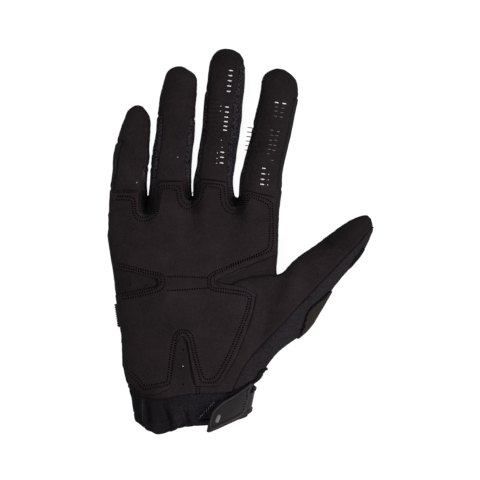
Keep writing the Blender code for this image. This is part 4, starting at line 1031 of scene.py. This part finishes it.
# How much nearer to the middle a place 36 mm up is than where the camera sees it.
TAB_NEAR = 0.985
EDGE_ROW = (
    (117, 196), (133, 196), (136, 201), (136, 211), (139, 216), (144, 217.5), (151, 215),
    (155, 210), (157, 204), (158, 194), (160, 187.5), (162.5, 185.4), (177, 185.4), (180, 187),
    (181, 195), (183, 201), (186, 204), (190, 204), (195, 200.6), (199, 195), (200.6, 187.5),
    (202.5, 184), (206, 183), (223, 184.5), (224, 187), (225, 195), (226, 204), (230, 209),
    (236, 210.6), (241, 208), (245, 202.5), (247.5, 195), (250, 194), (255, 195), (264, 198),
    (270.6, 201), (273, 205), (273, 236), (272.5, 249), (262, 254), (244, 260), (231, 266),
    (219, 272), (212.5, 274.5), (210.6, 278), (210.6, 284), (213, 286.7), (227, 288),
    (241, 290), (252, 293), (250.5, 302), (247.5, 315), (240.5, 332), (232.5, 352),
    (225, 366), (221, 374), (216, 380), (204, 380.5), (201, 378), (199.5, 372), (196.5, 363),
    (193.5, 352), (191.5, 341), (189.5, 335), (186.5, 331.5), (182, 331), (178, 334),
    (176, 341), (174, 354), (172, 371), (171, 381), (166, 383.5), (159, 384.5), (149, 387),
    (144, 386), (137, 379), (131, 373),
)
INNER_ROW = (
    (116, 199.5), (131, 199.5), (133, 203), (133, 210), (135.6, 217), (140, 220.6), (145.6, 221),
    (152.5, 219), (157.5, 214), (160, 206), (160.6, 195), (162.5, 189), (166, 188.3), (173, 188.3),
    (177, 190), (178, 199), (180.6, 205), (186, 209), (192.5, 207.5), (199, 202.5), (202.5, 196),
    (204, 187.5), (206, 186), (219, 187.5), (220.6, 190), (220.6, 199), (222.5, 206),
    (227.5, 212), (235, 214), (242.5, 211), (246, 205), (249, 197.5), (252, 197), (261, 200.6),
    (268, 204), (270, 211), (269.4, 236), (268.8, 245), (265, 250), (252, 256), (236, 262),
    (216, 270.5), (210, 273.5), (207.8, 278), (207.8, 286), (213, 289.5), (227, 291.5),
    (240, 293.5), (249, 295.5), (247.5, 303), (244.5, 314), (237.5, 331), (229.5, 350),
    (222, 364), (218, 371), (213, 376.5), (206, 377), (203, 373), (200, 363), (197, 352),
    (195, 341), (193, 333), (188.5, 328.5), (181, 328), (175.6, 331), (173, 340), (171, 354),
    (169, 371), (168, 379), (165, 380), (158, 381.3), (150, 383.5), (145, 382.5), (139, 376),
    (134, 371),
)
NOTCH_ROWS = (
    ((119, 265.6), (132, 268), (148, 273), (158, 274), (161.7, 276.7), (162, 281), (160, 285),
     (154, 289), (143, 291.5), (132, 293.5), (125, 294.5)),
    ((117, 262), (130, 265), (143, 269), (154, 271), (163, 273.5), (165.6, 277), (165.6, 284),
     (162, 289), (154, 292), (143, 294.5), (132, 296.5), (126, 297.5)),
    ((167.5, 275.6), (187, 276), (206, 276.7)),
    ((167.5, 289.4), (181, 289), (194, 288), (206, 287)),
    ((197, 383), (197, 389.6)),
    ((200, 383), (200, 389.4)),
)
FAINT_ROW = ((238, 272.5), (252, 270), (265, 268))
FOLDS = (
    (((229, 284), (238, 280), (247, 277), (260, 275), (275, 274)), 1.0, 0.9),
    (((164.5, 401), (168, 412), (173, 423.5)), 1.3, 0.9),
    (((184.5, 406), (187, 413), (190, 420)), 1.1, 0.7),
    (((148, 398), (148, 409), (151, 421)), 1.5, 0.8),
    (((138.5, 397), (139, 408), (142, 420)), 1.2, 0.6),
)
FINGER_RIBS = [((205.5, y), (213, y + 0.3), (221, y + 0.8))
               for y in (99, 103.5, 108, 112.5, 117, 121.5, 126)]
FINGER_RIBS += [((247 - 0.12 * (y - 127), y), (255, y + 1.0), (263, y + 2.2))
                for y in (127, 131.5, 136, 140.5, 145, 149.5)]
# Lines of painted shade along raised edges, folds and gaps.
SHADE_LINES = (
    ((229, 284.5), (238, 280.5), (247, 277), (260, 275), (275, 274.2)),
    ((256, 293.5), (254.4, 302), (251.4, 316), (246, 330)),
    ((216, 401), (211.5, 409), (208, 418)),
    ((203, 179.5), (197.5, 181), (195, 188), (191, 195)),
    ((234, 195), (238, 200.5), (242, 196)),
)
# Thinner lines of painted shade along edges and creases.
THIN_SHADE_LINES = (
    ((184, 336), (188, 345), (189.4, 354), (190.8, 364), (192.4, 375), (195.6, 383)),
    ((112, 192.4), (124, 192.2), (137, 192)), ((159.5, 182), (171, 181.6), (182, 181.6)),
    ((200, 179.4), (212, 180.2), (225, 182)), ((245, 191), (256, 192.2), (275, 197)),
    ((216, 270), (214.5, 277), (215.5, 283), (222, 285.5)),
    ((154.5, 277.5), (157.8, 280), (157.8, 283), (154.5, 286.5)),
    ((164.5, 401), (168, 412), (173, 423)), ((184.5, 406), (187, 413), (190, 420)),
    ((147, 399), (147.5, 410), (150, 424)),
)
# Lines of painted highlight on ridges and on edges that catch the light.
HIGHLIGHT_LINES = (((221.5, 277.5), (229, 274), (245, 267)), ((143.6, 397), (143.4, 408), (144, 419)),
              ((199, 420.5), (204, 420.2), (208.5, 420.5)), ((179, 338), (182, 333), (186, 334)))
GUARD_EDGE = ((330, 290.5), (322.5, 298.5), (311, 307), (306, 315.5), (304, 325), (300, 334), (296, 340))
TIP_EDGE = ((362.5, 247), (359, 252.5), (353, 259), (349.5, 266.5))
# Silicone bars painted pale where they glint.
BARS = (
    (231, 70.6), (230.3, 75.6), (229.6, 80.8), (229.2, 86), (228.5, 91.4),
    (227, 107), (227, 112), (226.3, 117), (225.8, 121.5), (225.4, 126), (225, 130),
    (222.3, 152), (222, 157), (221.6, 162.6),
    (276.5, 102.5), (284, 103.5),
    (263.7, 168), (263, 173.5), (262.5, 179), (262, 184),
)
# The same silicone bars painted darker where they do not glint.
FAINT_BARS = (
    (276.2, 106.8), (275.8, 111), (275.2, 116), (282.6, 108), (281.6, 112.5), (280.8, 117),
    (271.5, 130), (271.7, 135), (270.5, 140), (270, 144.5), (269, 149), (268, 153.5), (272, 160),
    (278, 131.5), (276.4, 135.5), (275.4, 140), (274.4, 145), (273.4, 150),
)
# Pale dots of painted glint: on silicone print dots, and the last three on perforations.
GLINT_DOTS = ((221, 106), (220.6, 111), (221.5, 140), (222, 147), (217.5, 152.5), (217, 158), (216.6, 163),
        (268.6, 174), (268.2, 179.5), (267.6, 184.5), (178, 157), (137, 182), (183.6, 364))
PERFORATIONS = ((146.7, 284), (131, 284), (119, 284), (183.6, 348), (184, 382))
# Soft patches, darker or lighter: mostly painted shade and painted light where the glove's slopes turn away
# from or towards the lamps, partly the suede's own uneven tone: centre, half sizes and how much is left of
# the brightness.
SHADE_AND_TONE_PATCHES = (
    ((205, 60), (160, 135), 0.80), ((225, 50), (18, 16), 0.88), ((352, 232), (34, 26), 0.66),
    ((138, 345), (42, 55), 0.78), ((128, 235), (24, 45), 0.88),
    ((140, 410), (32, 24), 0.45), ((177, 398), (17, 4.5), 0.66),
    ((140, 280), (26, 9), 0.82), ((183, 365), (7, 22), 0.84),
    ((246, 277), (22, 7), 0.76), ((191.5, 207), (13, 7), 0.80), ((236.5, 212), (14, 7), 0.82),
    ((282, 286), (9, 9), 1.08), ((275, 300), (9, 13), 1.14), ((270, 314), (9, 14), 1.20),
)
# Centre and half sizes of the mesh below each crotch, round which painted shade darkens the suede and mesh.
CROTCH_SPOTS = (((148, 202.5), (5.5, 11)), ((191.5, 193.5), (5, 7)), ((236.5, 201), (5.5, 5.5)))
# Each finger's axis, and how far up its left and right sides the mesh reaches.
FINGER_SIDES = (
    (((134, 108), (129, 186)), 141, 166), (((179.5, 70), (170.5, 186)), 116, 118),
    (((227, 50), (212.5, 186)), 90, 64), (((280, 72), (260, 188)), 126, 98),
)
# Where the suede stops along each finger, for the seam's row of stitches.
FINGER_SEAMS = (
    ((124.5, 145), (121.5, 153), (119.5, 164), (118.5, 177), (115, 188)),
    ((143.5, 168), (141.2, 181), (141, 189)),
    ((165.3, 113), (164, 122), (163.5, 143), (159.5, 164), (157.5, 177), (155, 187)),
    ((189.5, 118), (188, 135), (185.2, 150), (183.6, 165), (184.6, 178)),
    ((237.6, 68), (236.6, 80), (234.6, 90), (231.6, 100), (231, 115), (230.5, 130), (228, 140),
     (227, 150), (228, 165), (228.6, 180)),
    ((261, 118), (255.5, 130), (252.5, 145), (247.6, 160), (242, 184)),
)


def lifted(row):
    """Pixels of something 36 mm up, moved to where the camera sees it from above."""
    return [(MIDDLE_X + (x - MIDDLE_X) * TAB_NEAR, MIDDLE_Y + (y - MIDDLE_Y) * TAB_NEAR)
            for x, y in row]


def spot_reach(points, centre, reach):
    """Distance of points from a spot in pixels, as a share of the spot's half sizes."""
    away = (points[:, :2] - at_pixels((centre,))) / (np.array(reach) * PIXEL)
    return np.hypot(away[:, 0], away[:, 1])


def cut_thumb(points, quads, cloth, normals):
    """Gives the thumb's outer side its own cloth, and draws the border on to the seam."""
    middles = points[quads].mean(1)
    _, side = distance_to_line(middles, THUMB_SEAM)
    cloth[(cloth == CLOTHS.index("thumb_panel")) & (side < 0.0)] = CLOTHS.index("thumb_side")
    draw_to(points, quads, cloth, normals, THUMB_SEAM)


def cut_hem(points, quads, cloth, normals):
    """Draws the palm's lower edge on to the photographed one."""
    line = drawn_line(lifted(PALM_HEM))
    middles = points[quads].mean(1)
    gap, side = distance_to_line(middles, line)
    near = (gap < 5.0 * MM) & (middles[:, 2] > 12.0 * MM)
    near &= (middles[:, 0] > line[-1, 0]) & (middles[:, 0] < line[0, 0])
    palm, cuff = CLOTHS.index("palm_panel"), CLOTHS.index("cuff")
    swapped = near & np.isin(cloth, (palm, cuff))
    cloth[swapped] = np.where(side[swapped] < 0.0, cuff, palm)
    draw_to(points, quads, cloth, normals, line)


def draw_to(points, quads, cloth, normals, line):
    """Moves the border between cloths along the surface on to a line."""
    seams, _ = seam_edges(quads, cloth)
    ends = np.unique(seams)
    ends = ends[normals[ends, 2] > 0.35]
    dist, _ = distance_to_line(points[ends], line)
    ends = ends[dist < 1.2 * MM]
    fine = resample(line, 0.1 * MM)[0]
    for vert in ends:
        gaps = fine - points[vert, :2]
        near = gaps[np.argmin((gaps ** 2).sum(1))]
        n = normals[vert]
        points[vert, :2] += near
        points[vert, 2] -= (n[0] * near[0] + n[1] * near[1]) / n[2]


def wrap_tips(points, quads, cloth):
    """Carries the suede round the sides of the fingers above where the mesh ends."""
    middles = points[quads].mean(1)
    up = upward(facing(points, quads))
    gaps, sides = [], []
    for axis, _, _ in FINGER_SIDES:
        gap, side = distance_to_line(middles, at_pixels(axis))
        gaps.append(gap)
        sides.append(side)
    nearest = np.argmin(gaps, axis=0)
    height = MIDDLE_Y - middles[:, 1] / PIXEL
    for number, (_, left, right) in enumerate(FINGER_SIDES):
        # Each axis runs from the tip down, so its right is the finger's left in the picture.
        limit = np.where(sides[number] > 0.0, left, right)
        wrapped = (nearest == number) & (up > -0.15) & (height < limit)
        wrapped &= cloth > CLOTHS.index("thumb_side")
        cloth[wrapped] = CLOTHS.index("palm_panel")
    across = middles[:, 0] / PIXEL + MIDDLE_X
    outer_edge = (across < 128.0) & (height > 188.0) & (height < 384.0)
    inner_edge = (across > 264.0) & (across < 284.0) & (height > 188.0) & (height < 276.0)
    wrapped = (outer_edge | inner_edge) & (up > -0.15) & (cloth == CLOTHS.index("back_panel"))
    cloth[wrapped] = CLOTHS.index("palm_panel")


def plate_on(name, edge, reach, lift, wall, material, replaced=()):
    """A plate over the thumb's outer side, from an edge in pixels outwards by a reach."""
    edge = np.array(edge, float)
    away = np.array([0.74, 0.67]) * reach
    outline = at_pixels(np.concatenate([edge, (edge + away)[::-1]]))
    up = upward(facing(points, quads))
    chosen = inside_outline(points[quads].mean(1)[:, :2], outline) & (up > -0.45)
    cloth_shell(name, points + normals * lift, normals, quads[chosen], wall, material, replaced, {})


def shade_and_tone_at(points):
    """How much brightness is left at each point, by the patches of painted shade and light and of the
    suede's own tone.
    """
    shade_and_tone = np.ones(len(points))
    for centre, reach, left in SHADE_AND_TONE_PATCHES:
        shade_and_tone *= 1.0 - (1.0 - left) * (1.0 - smooth_step(0.55, 1.35, spot_reach(points, centre, reach)))
    return shade_and_tone


points, quads, cloth = dense_surface()
normals = vertex_normals(points, quads)
cut_thumb(points, quads, cloth, normals)
cut_hem(points, quads, cloth, normals)
normals = vertex_normals(points, quads)
middles = points[quads].mean(1)
for number, (centre, reach) in enumerate(CROTCH_SPOTS):
    meshed = (spot_reach(middles, centre, reach) < 0.95) & (cloth == CLOTHS.index("palm_panel"))
    cloth[meshed] = CLOTHS.index("gusset_little_ring") + number
wrap_tips(points, quads, cloth)
shade_and_tone = shade_and_tone_at(points)
# Distance to the seams: grooves are pressed along them, and it sets their painted shade and highlight.
seams, hem = seam_edges(quads, np.where(cloth == CLOTHS.index("thumb_panel"), 0, cloth))
seam_gap = distance_to_edges(points, seams, 6.0 * MM)
groove = -0.42 * MM * np.exp(-(seam_gap / (0.7 * MM)) ** 2)
groove += 0.18 * MM * np.exp(-((seam_gap - 2.2 * MM) / (1.1 * MM)) ** 2)
groove += 0.10 * MM * noise_at(points, 9.0 * MM, 3)
groove += 0.14 * MM * noise_at(points, 3.2 * MM, 5, 2) * np.exp(-(seam_gap / (3.0 * MM)) ** 2)
# Creases pressed into the surface, and nearness to them for the painted shade along them.
fold = np.full(len(points), 3.0)
for line, width, depth in FOLDS:
    groove += crease(points, normals, line, width * MM, depth * MM)
    near, _ = distance_to_line(points, drawn_line(line))
    near[normals[:, 2] < 0.2] = 3.0 * MM
    fold = np.minimum(fold, near / (width * MM * min(1.0, depth)))
hem_gap = distance_to_edges(points, hem, 8.0 * MM)
groove += -0.35 * MM * np.exp(-((hem_gap - 4.0 * MM) / (0.5 * MM)) ** 2)
points = points + normals * groove[:, None]
normals = vertex_normals(points, quads)

surface = bvh_of(points, quads)
overlay_outline = rounded_outline(OVERLAY_CORNERS)
rim = points[np.unique(seams)]
rim = rim[rim[:, 2] > 8.0 * MM]
rim = rim[np.argsort(rim[:, 1])]
rim_x, rim_y = rim[:, 0], rim[:, 1]
left_rim = rim[(rim_x < -55 * MM) & (rim_y > -85 * MM) & (rim_y < 40 * MM)]
right_rim = rim[(rim_x > 14 * MM) & (rim_x < 26 * MM) & (rim_y > -15 * MM) & (rim_y < 45 * MM)]
closed = np.concatenate([overlay_outline, overlay_outline[:1]])
overlay_outline = resample(closed, 0.45 * MM)[0][:-1]
low_x = np.interp(overlay_outline[:, 1], left_rim[:, 1], left_rim[:, 0]) + 0.3 * MM
overlay_outline[:, 0] = np.maximum(overlay_outline[:, 0], low_x)
upper = overlay_outline[:, 1] > -12 * MM
high_x = np.interp(overlay_outline[:, 1], right_rim[:, 1], right_rim[:, 0]) - 0.3 * MM
overlay_outline[upper, 0] = np.minimum(overlay_outline[upper, 0], high_x[upper])
_, keep = np.unique(np.round(overlay_outline / (0.02 * MM)), axis=0, return_index=True)
overlay_outline = overlay_outline[np.sort(keep)]

# Distance to the overlay's edge, for the painted shadow round it; none on the underside and none down on the
# cuff.
lap, _ = distance_to_line(points, overlay_outline, closed=True)
lap[normals[:, 2] < 0.0] = 9.0 * MM
lap += 4.0 * MM * smooth_step(-72.0 * MM, -78.0 * MM, points[:, 1])
lap = np.minimum(lap, 9.0 * MM)
# Nearness to the crotches, for their painted shade.
deep = np.full(len(points), 3.0)
for centre, reach in CROTCH_SPOTS:
    deep = np.minimum(deep, spot_reach(points, centre, reach))
# Vertex values that the cloths' painted shade and light are read from; turn is how far the surface faces up.
values = {"seam": seam_gap / MM, "lap": lap / MM, "deep": deep,
          "fold": fold, "turn": np.abs(normals[:, 2]), "shade_and_tone": shade_and_tone}
for number, (name, (material, slot)) in enumerate(zip(CLOTHS, CLOTH_LOOKS)):
    cloth_shell(name + "_cloth", points, normals, quads[cloth == number], CLOTH_WALL,
                material, (name,), values)

STITCH_ROWS = (EDGE_ROW, INNER_ROW) + NOTCH_ROWS
STITCHED = [drawn_line(row) for row in STITCH_ROWS]


def row_gap(flat):
    """Distance in XY to the nearest row of stitches."""
    gaps = [distance_to_line(flat, line)[0] for line in STITCHED]
    return np.min(gaps, axis=0)


def overlay_relief(flat, near):
    """The overlay's quilting: a shallow furrow along each row and a soft rise between them."""
    gap = row_gap(flat)
    waves = noise_at(np.pad(flat, ((0, 0), (0, 1))), 12.0 * MM, 11)
    return (-0.22 * MM * np.exp(-(gap / (0.55 * MM)) ** 2) + 0.10 * MM * waves
            + 0.25 * MM * smooth_step(1.0 * MM, 7.0 * MM, gap))


overlay, overlay_tree = laid_piece(
    "palm_overlay_cloth", overlay_outline, surface, LAYER_GAP * 0.4, OVERLAY_THICKNESS, 0.9 * MM,
    0.62 * MM, OVERLAY, ("palm_overlay",), overlay_relief)
top_verts = np.zeros(len(overlay.data.vertices) * 3)
overlay.data.vertices.foreach_get("co", top_verts)
top_verts = top_verts.reshape(-1, 3)
# The overlay gets the same patches of painted shade and light.
put_values(overlay, "shade_and_tone", shade_and_tone_at(top_verts))
# Nearness to the stitch rows, for the painted shade in their furrows.
put_values(overlay, "row", np.minimum(row_gap(top_verts[:, :2]) / MM, 3.0))

# Rows of stitches: a thread between two needle holes, which are dark dots of painted shade.
PITCH = 1.36 * MM
spots, ways, norms = along_rows(STITCH_ROWS, PITCH, (overlay_tree, surface))
beads("stitch_threads", spots, ways, norms, (0.30 * MM, 0.20 * MM, 0.26 * MM), THREAD)
step = ways * 0.5 * PITCH
holes, hole_norms = drop_first((overlay_tree, surface), spots[:, :2] + step)
beads("needle_holes", holes, ways, hole_norms, (0.50 * MM, 0.50 * MM, 0.20 * MM), HOLE_SHADE)
spots, ways, norms = along_rows((FAINT_ROW,) + FINGER_SEAMS, 1.3 * MM, (surface,))
beads("seam_stitches", spots, ways, norms, (0.34 * MM, 0.16 * MM, 0.16 * MM), SEAM_THREAD)

# Silicone print painted with glints, dots of painted glint, the strip of teeth at the side and the
# perforations as dots of painted shade.
SIDE_TEETH = [(118.4 + 0.16 * k, 303.5 + 2.4 * k) for k in range(10)]
for name, places, size, material, power in (
        ("glinting_grip_bars", BARS, (1.15, 0.30, 0.32), SILICONE_GLINT, 4.0),
        ("shaded_grip_bars", FAINT_BARS, (0.95, 0.24, 0.22), SHADED_SILICONE, 4.0),
        ("grip_dot_glints", GLINT_DOTS, (0.26, 0.24, 0.22), SILICONE_GLINT, 2.0),
        ("side_teeth", SIDE_TEETH, (0.80, 0.30, 0.30), RUBBER, 3.0),
        ("perforations", PERFORATIONS, (0.45, 0.45, 0.06), HOLE_SHADE, 2.0)):
    spots, norms = drop_first((overlay_tree, surface), at_pixels(places))
    ways = np.tile(np.array([[0.99, -0.12]]), (len(spots), 1))
    slot = {HOLE_SHADE: "palm_suede", RUBBER: "strap_rubber"}.get(material, "silicone_print")
    beads(name, spots, ways, norms, np.array(size) * MM, material, power)

# The strap: its imported shape with rounded edges, and a rim round a sunk panel on its tab, with a painted
# highlight on the rim and a groove of painted shade inside it.
strap_verts, strap_faces = rounded_copy(
    "closure_strap_shell", "closure_strap", RUBBER, 0.45 * MM)
corners = strap_verts[strap_faces]
lean = upward(np.cross(corners[:, 1] - corners[:, 0], corners[:, 2] - corners[:, 0]))
upper = (lean > 0.3) & (corners[:, :, 2].mean(1) > 20.0 * MM)
binding_tree = bvh_of(*rounded_copy(
    "wrist_binding_shell", "wrist_binding", TAPE, 0.3 * MM))
patch_tree = bvh_of(*rounded_copy(
    "closure_patch_shell", "closure_patch", LOOPS, 0.15 * MM))
TAB = (
    (209, 428.8), (209, 422), (211.4, 413.2), (214.4, 408.2), (220.3, 403.3), (224.4, 400),
    (235, 394.5), (248.6, 384.6), (252.4, 382), (252.4, 386.6), (249.6, 391.8), (250.4, 396),
    (248.6, 402.6), (247.5, 409.4), (243.6, 414.4), (237.6, 418.4), (226, 423.4), (219, 426.4),
    (215.6, 429), (210.4, 429.2),
)
BINDING_TAB = ((255.5, 376.5), (257.5, 371.5), (262, 367.6), (267.2, 365.4), (266.6, 369),
               (261.5, 374), (256.5, 378.6))


def tab_relief(flat, near):
    """The tab's middle lies a little lower than its border."""
    return -0.25 * MM * smooth_step(1.5 * MM, 2.1 * MM, near)


def powers(flat):
    """Powers of X and Y, in units of 50 mm, that a curved sheet is summed from."""
    x, y = flat.T * 20.0
    return np.stack([np.ones(len(flat)), x, y, x * x, x * y, y * y, x * x * x, x * x * y], 1)


def tab_form(outline, trees):
    """A smoothly curved sheet that clears everything below the strap's tab."""
    low, high = outline.min(0) - 2.0 * MM, outline.max(0) + 2.0 * MM
    count = 40
    steps = [np.linspace(low[axis], high[axis], count) for axis in (0, 1)]
    flat = np.stack(np.meshgrid(*steps), -1).reshape(-1, 2)
    inner = flat[inside_outline(flat, outline)]
    tops = [highest(trees, x, y) for x, y in inner]
    shares = np.linalg.lstsq(powers(inner), np.array(tops), rcond=None)[0]
    clear = np.percentile(np.array(tops) - powers(inner) @ shares, 96)
    sheet = np.column_stack([flat, powers(flat) @ shares + clear])
    starts = [row * count + column for row in range(count - 1) for column in range(count - 1)]
    cells = [(k, k + 1, k + count + 1, k + count) for k in starts]
    return bvh_of(sheet, cells)


def highest(trees, x, y):
    """Height of the highest of some surfaces at a place in XY."""
    hits = [tree.ray_cast(Vector((x, y, ABOVE_ALL)), DOWN)[0] for tree in trees]
    return max(hit.z for hit in hits if hit is not None)


binding_tab = resample(drawn_line(BINDING_TAB, closed=True), 0.4 * MM)[0]
laid_piece("binding_tab", binding_tab, surface, 0.0, 1.0 * MM, 0.4 * MM, 0.5 * MM, TAPE)
tab_line = drawn_line(lifted(TAB), closed=True)
tab_outline = resample(tab_line, 0.4 * MM)[0]
under = (bvh_of(strap_verts, strap_faces[upper]), binding_tree, patch_tree, surface)
_, tab_tree = laid_piece(
    "strap_tab", tab_outline, tab_form(tab_outline, under), 0.0, 0.5 * MM, 0.5 * MM, 0.35 * MM,
    PANEL, (), tab_relief)
for name, reach, material, half, height in (
        ("tab_rim", 0.85, RIM_HIGHLIGHT, 0.42, 0.35), ("tab_groove_shade", 1.7, DARK_PATCH_AND_SHADE, 0.16, 0.05)):
    line = inset(tab_line, reach * MM)
    ribbons(name, [to_pixels([*line, *line[:2]])], (tab_tree,), material, half, height)
TAB_STITCHES = [((241.4 + 0.75 * k, 410.6 - 2.5 * k), (244.4 + 0.75 * k, 409.4 - 2.5 * k))
                for k in range(6)]
eyelets = [((x0 + x1) / 2 + 0.3, (y0 + y1) / 2 - 1.2) for (x0, y0), (x1, y1) in TAB_STITCHES]
spots, norms = drop_first((tab_tree,), at_pixels(lifted(eyelets)))
beads("tab_eyelets", spots, np.tile(np.array([[0.9, 0.35]]), (len(spots), 1)), norms,
      (0.70 * MM, 0.34 * MM, 0.08 * MM), HOLE_SHADE)
ribbons("tab_stitches", [lifted(pair) for pair in TAB_STITCHES], (tab_tree,), PALE_THREAD,
        0.17, 0.12)
spots, norms = drop_first((tab_tree,), at_pixels(lifted(((218.0, 417.6),))))
beads("tab_pad", spots, np.array([[0.42, 1.0]]), norms, (2.6 * MM, 1.0 * MM, 0.35 * MM),
      PALE_RUBBER, 5.0)

rounded_copy("side_guard_shell", "side_guard", RUBBER, 0.12 * MM)
plate_on("thumb_guard_plate", GUARD_EDGE, 26.0, 0.75 * MM, 0.9 * MM, OLIVE,
         ("thumb_guard",))
plate_on("thumb_tip_patch", TIP_EDGE, 14.0, 0.35 * MM, 0.5 * MM, DARK_PATCH_AND_SHADE)
outer = bvh_of(points + normals * 0.75 * MM, quads)

# Fine lines: painted shade along edges, folds and the thumb's seam, painted highlights beside them, dim ribs
# and the patch's toothed edge.
trees = (overlay_tree, surface)
ribbons("shade_lines", SHADE_LINES, trees, DARK_PATCH_AND_SHADE, 0.40, 0.10)
ribbons("thin_shade_lines", THIN_SHADE_LINES, trees, DARK_PATCH_AND_SHADE, 0.26, 0.10)
ribbons("finger_ribs", FINGER_RIBS, (surface,), DIM, 0.26, 0.05)
ribbons("thumb_seam_shade", [to_pixels(THUMB_SEAM[1:])], (surface,), DARK_PATCH_AND_SHADE, 0.22, 0.08)
ribbons("guard_edge_shade", (GUARD_EDGE[:-1],), (outer,), DARK_PATCH_AND_SHADE, 0.40, 0.16)
ribbons("highlight_lines", HIGHLIGHT_LINES, trees, DIM_HIGHLIGHT, 0.22, 0.06)
teeth = to_pixels(patch_edge())
ribbons("patch_teeth", list(zip(teeth, teeth[1:])), (patch_tree,), PALE_RUBBER, 0.20, 0.10)

# The stage: a white floor, soft light and the photograph's straight view from above.
floor_mesh = bpy.data.meshes.new("floor")
floor_corners = [(x, y, -0.5 * MM) for x, y in ((-3.0, -3.0), (3.0, -3.0), (3.0, 3.0), (-3.0, 3.0))]
floor_mesh.from_pydata(floor_corners, [], [(0, 1, 2, 3)])
floor = bpy.data.objects.new("floor", floor_mesh)
bpy.context.scene.collection.objects.link(floor)
floor_material, _, floor_shader = node_material("floor", (0.1, 0.1, 0.1), 0.9, 0.0)
floor_shader.inputs["Emission Color"].default_value = (1.0, 1.0, 1.0, 1.0)
floor_shader.inputs["Emission Strength"].default_value = 0.95
floor_mesh.materials.append(floor_material)

scene = bpy.context.scene
scene.view_settings.view_transform = "Standard"
world = bpy.data.worlds.new("studio")
scene.world = world
world.use_nodes = True
world.node_tree.nodes["Background"].inputs["Color"].default_value = (1.0, 1.0, 1.0, 1.0)
world.node_tree.nodes["Background"].inputs["Strength"].default_value = 0.5


def soft_light(name, place, size, power):
    """A round lamp that shines at the glove."""
    light = bpy.data.lights.new(name, "AREA")
    light.shape = "DISK"
    light.size = size
    light.energy = power
    thing = bpy.data.objects.new(name, light)
    thing.location = place
    thing.rotation_euler = (-Vector(place)).to_track_quat("-Z", "Y").to_euler()
    scene.collection.objects.link(thing)


soft_light("key", (0.95, -0.55, 0.95), 0.5, 35.0)
soft_light("fill", (-0.5, 0.7, 1.3), 0.9, 20.0)

camera_data = bpy.data.cameras.new("camera")
SENSOR_WIDTH, FOCAL_LENGTH = 36.0, 200.0
camera_data.sensor_width = SENSOR_WIDTH
camera_data.lens = FOCAL_LENGTH
camera_data.clip_start = 0.05
camera_data.clip_end = 20.0
camera = bpy.data.objects.new("camera", camera_data)
scene.collection.objects.link(camera)
FRAME_WIDTH = 480 * PIXEL
MIDDLE_HEIGHT = 14.0 * MM
camera.location = (0.0, 0.0, FRAME_WIDTH * FOCAL_LENGTH / SENSOR_WIDTH + MIDDLE_HEIGHT)
scene.camera = camera
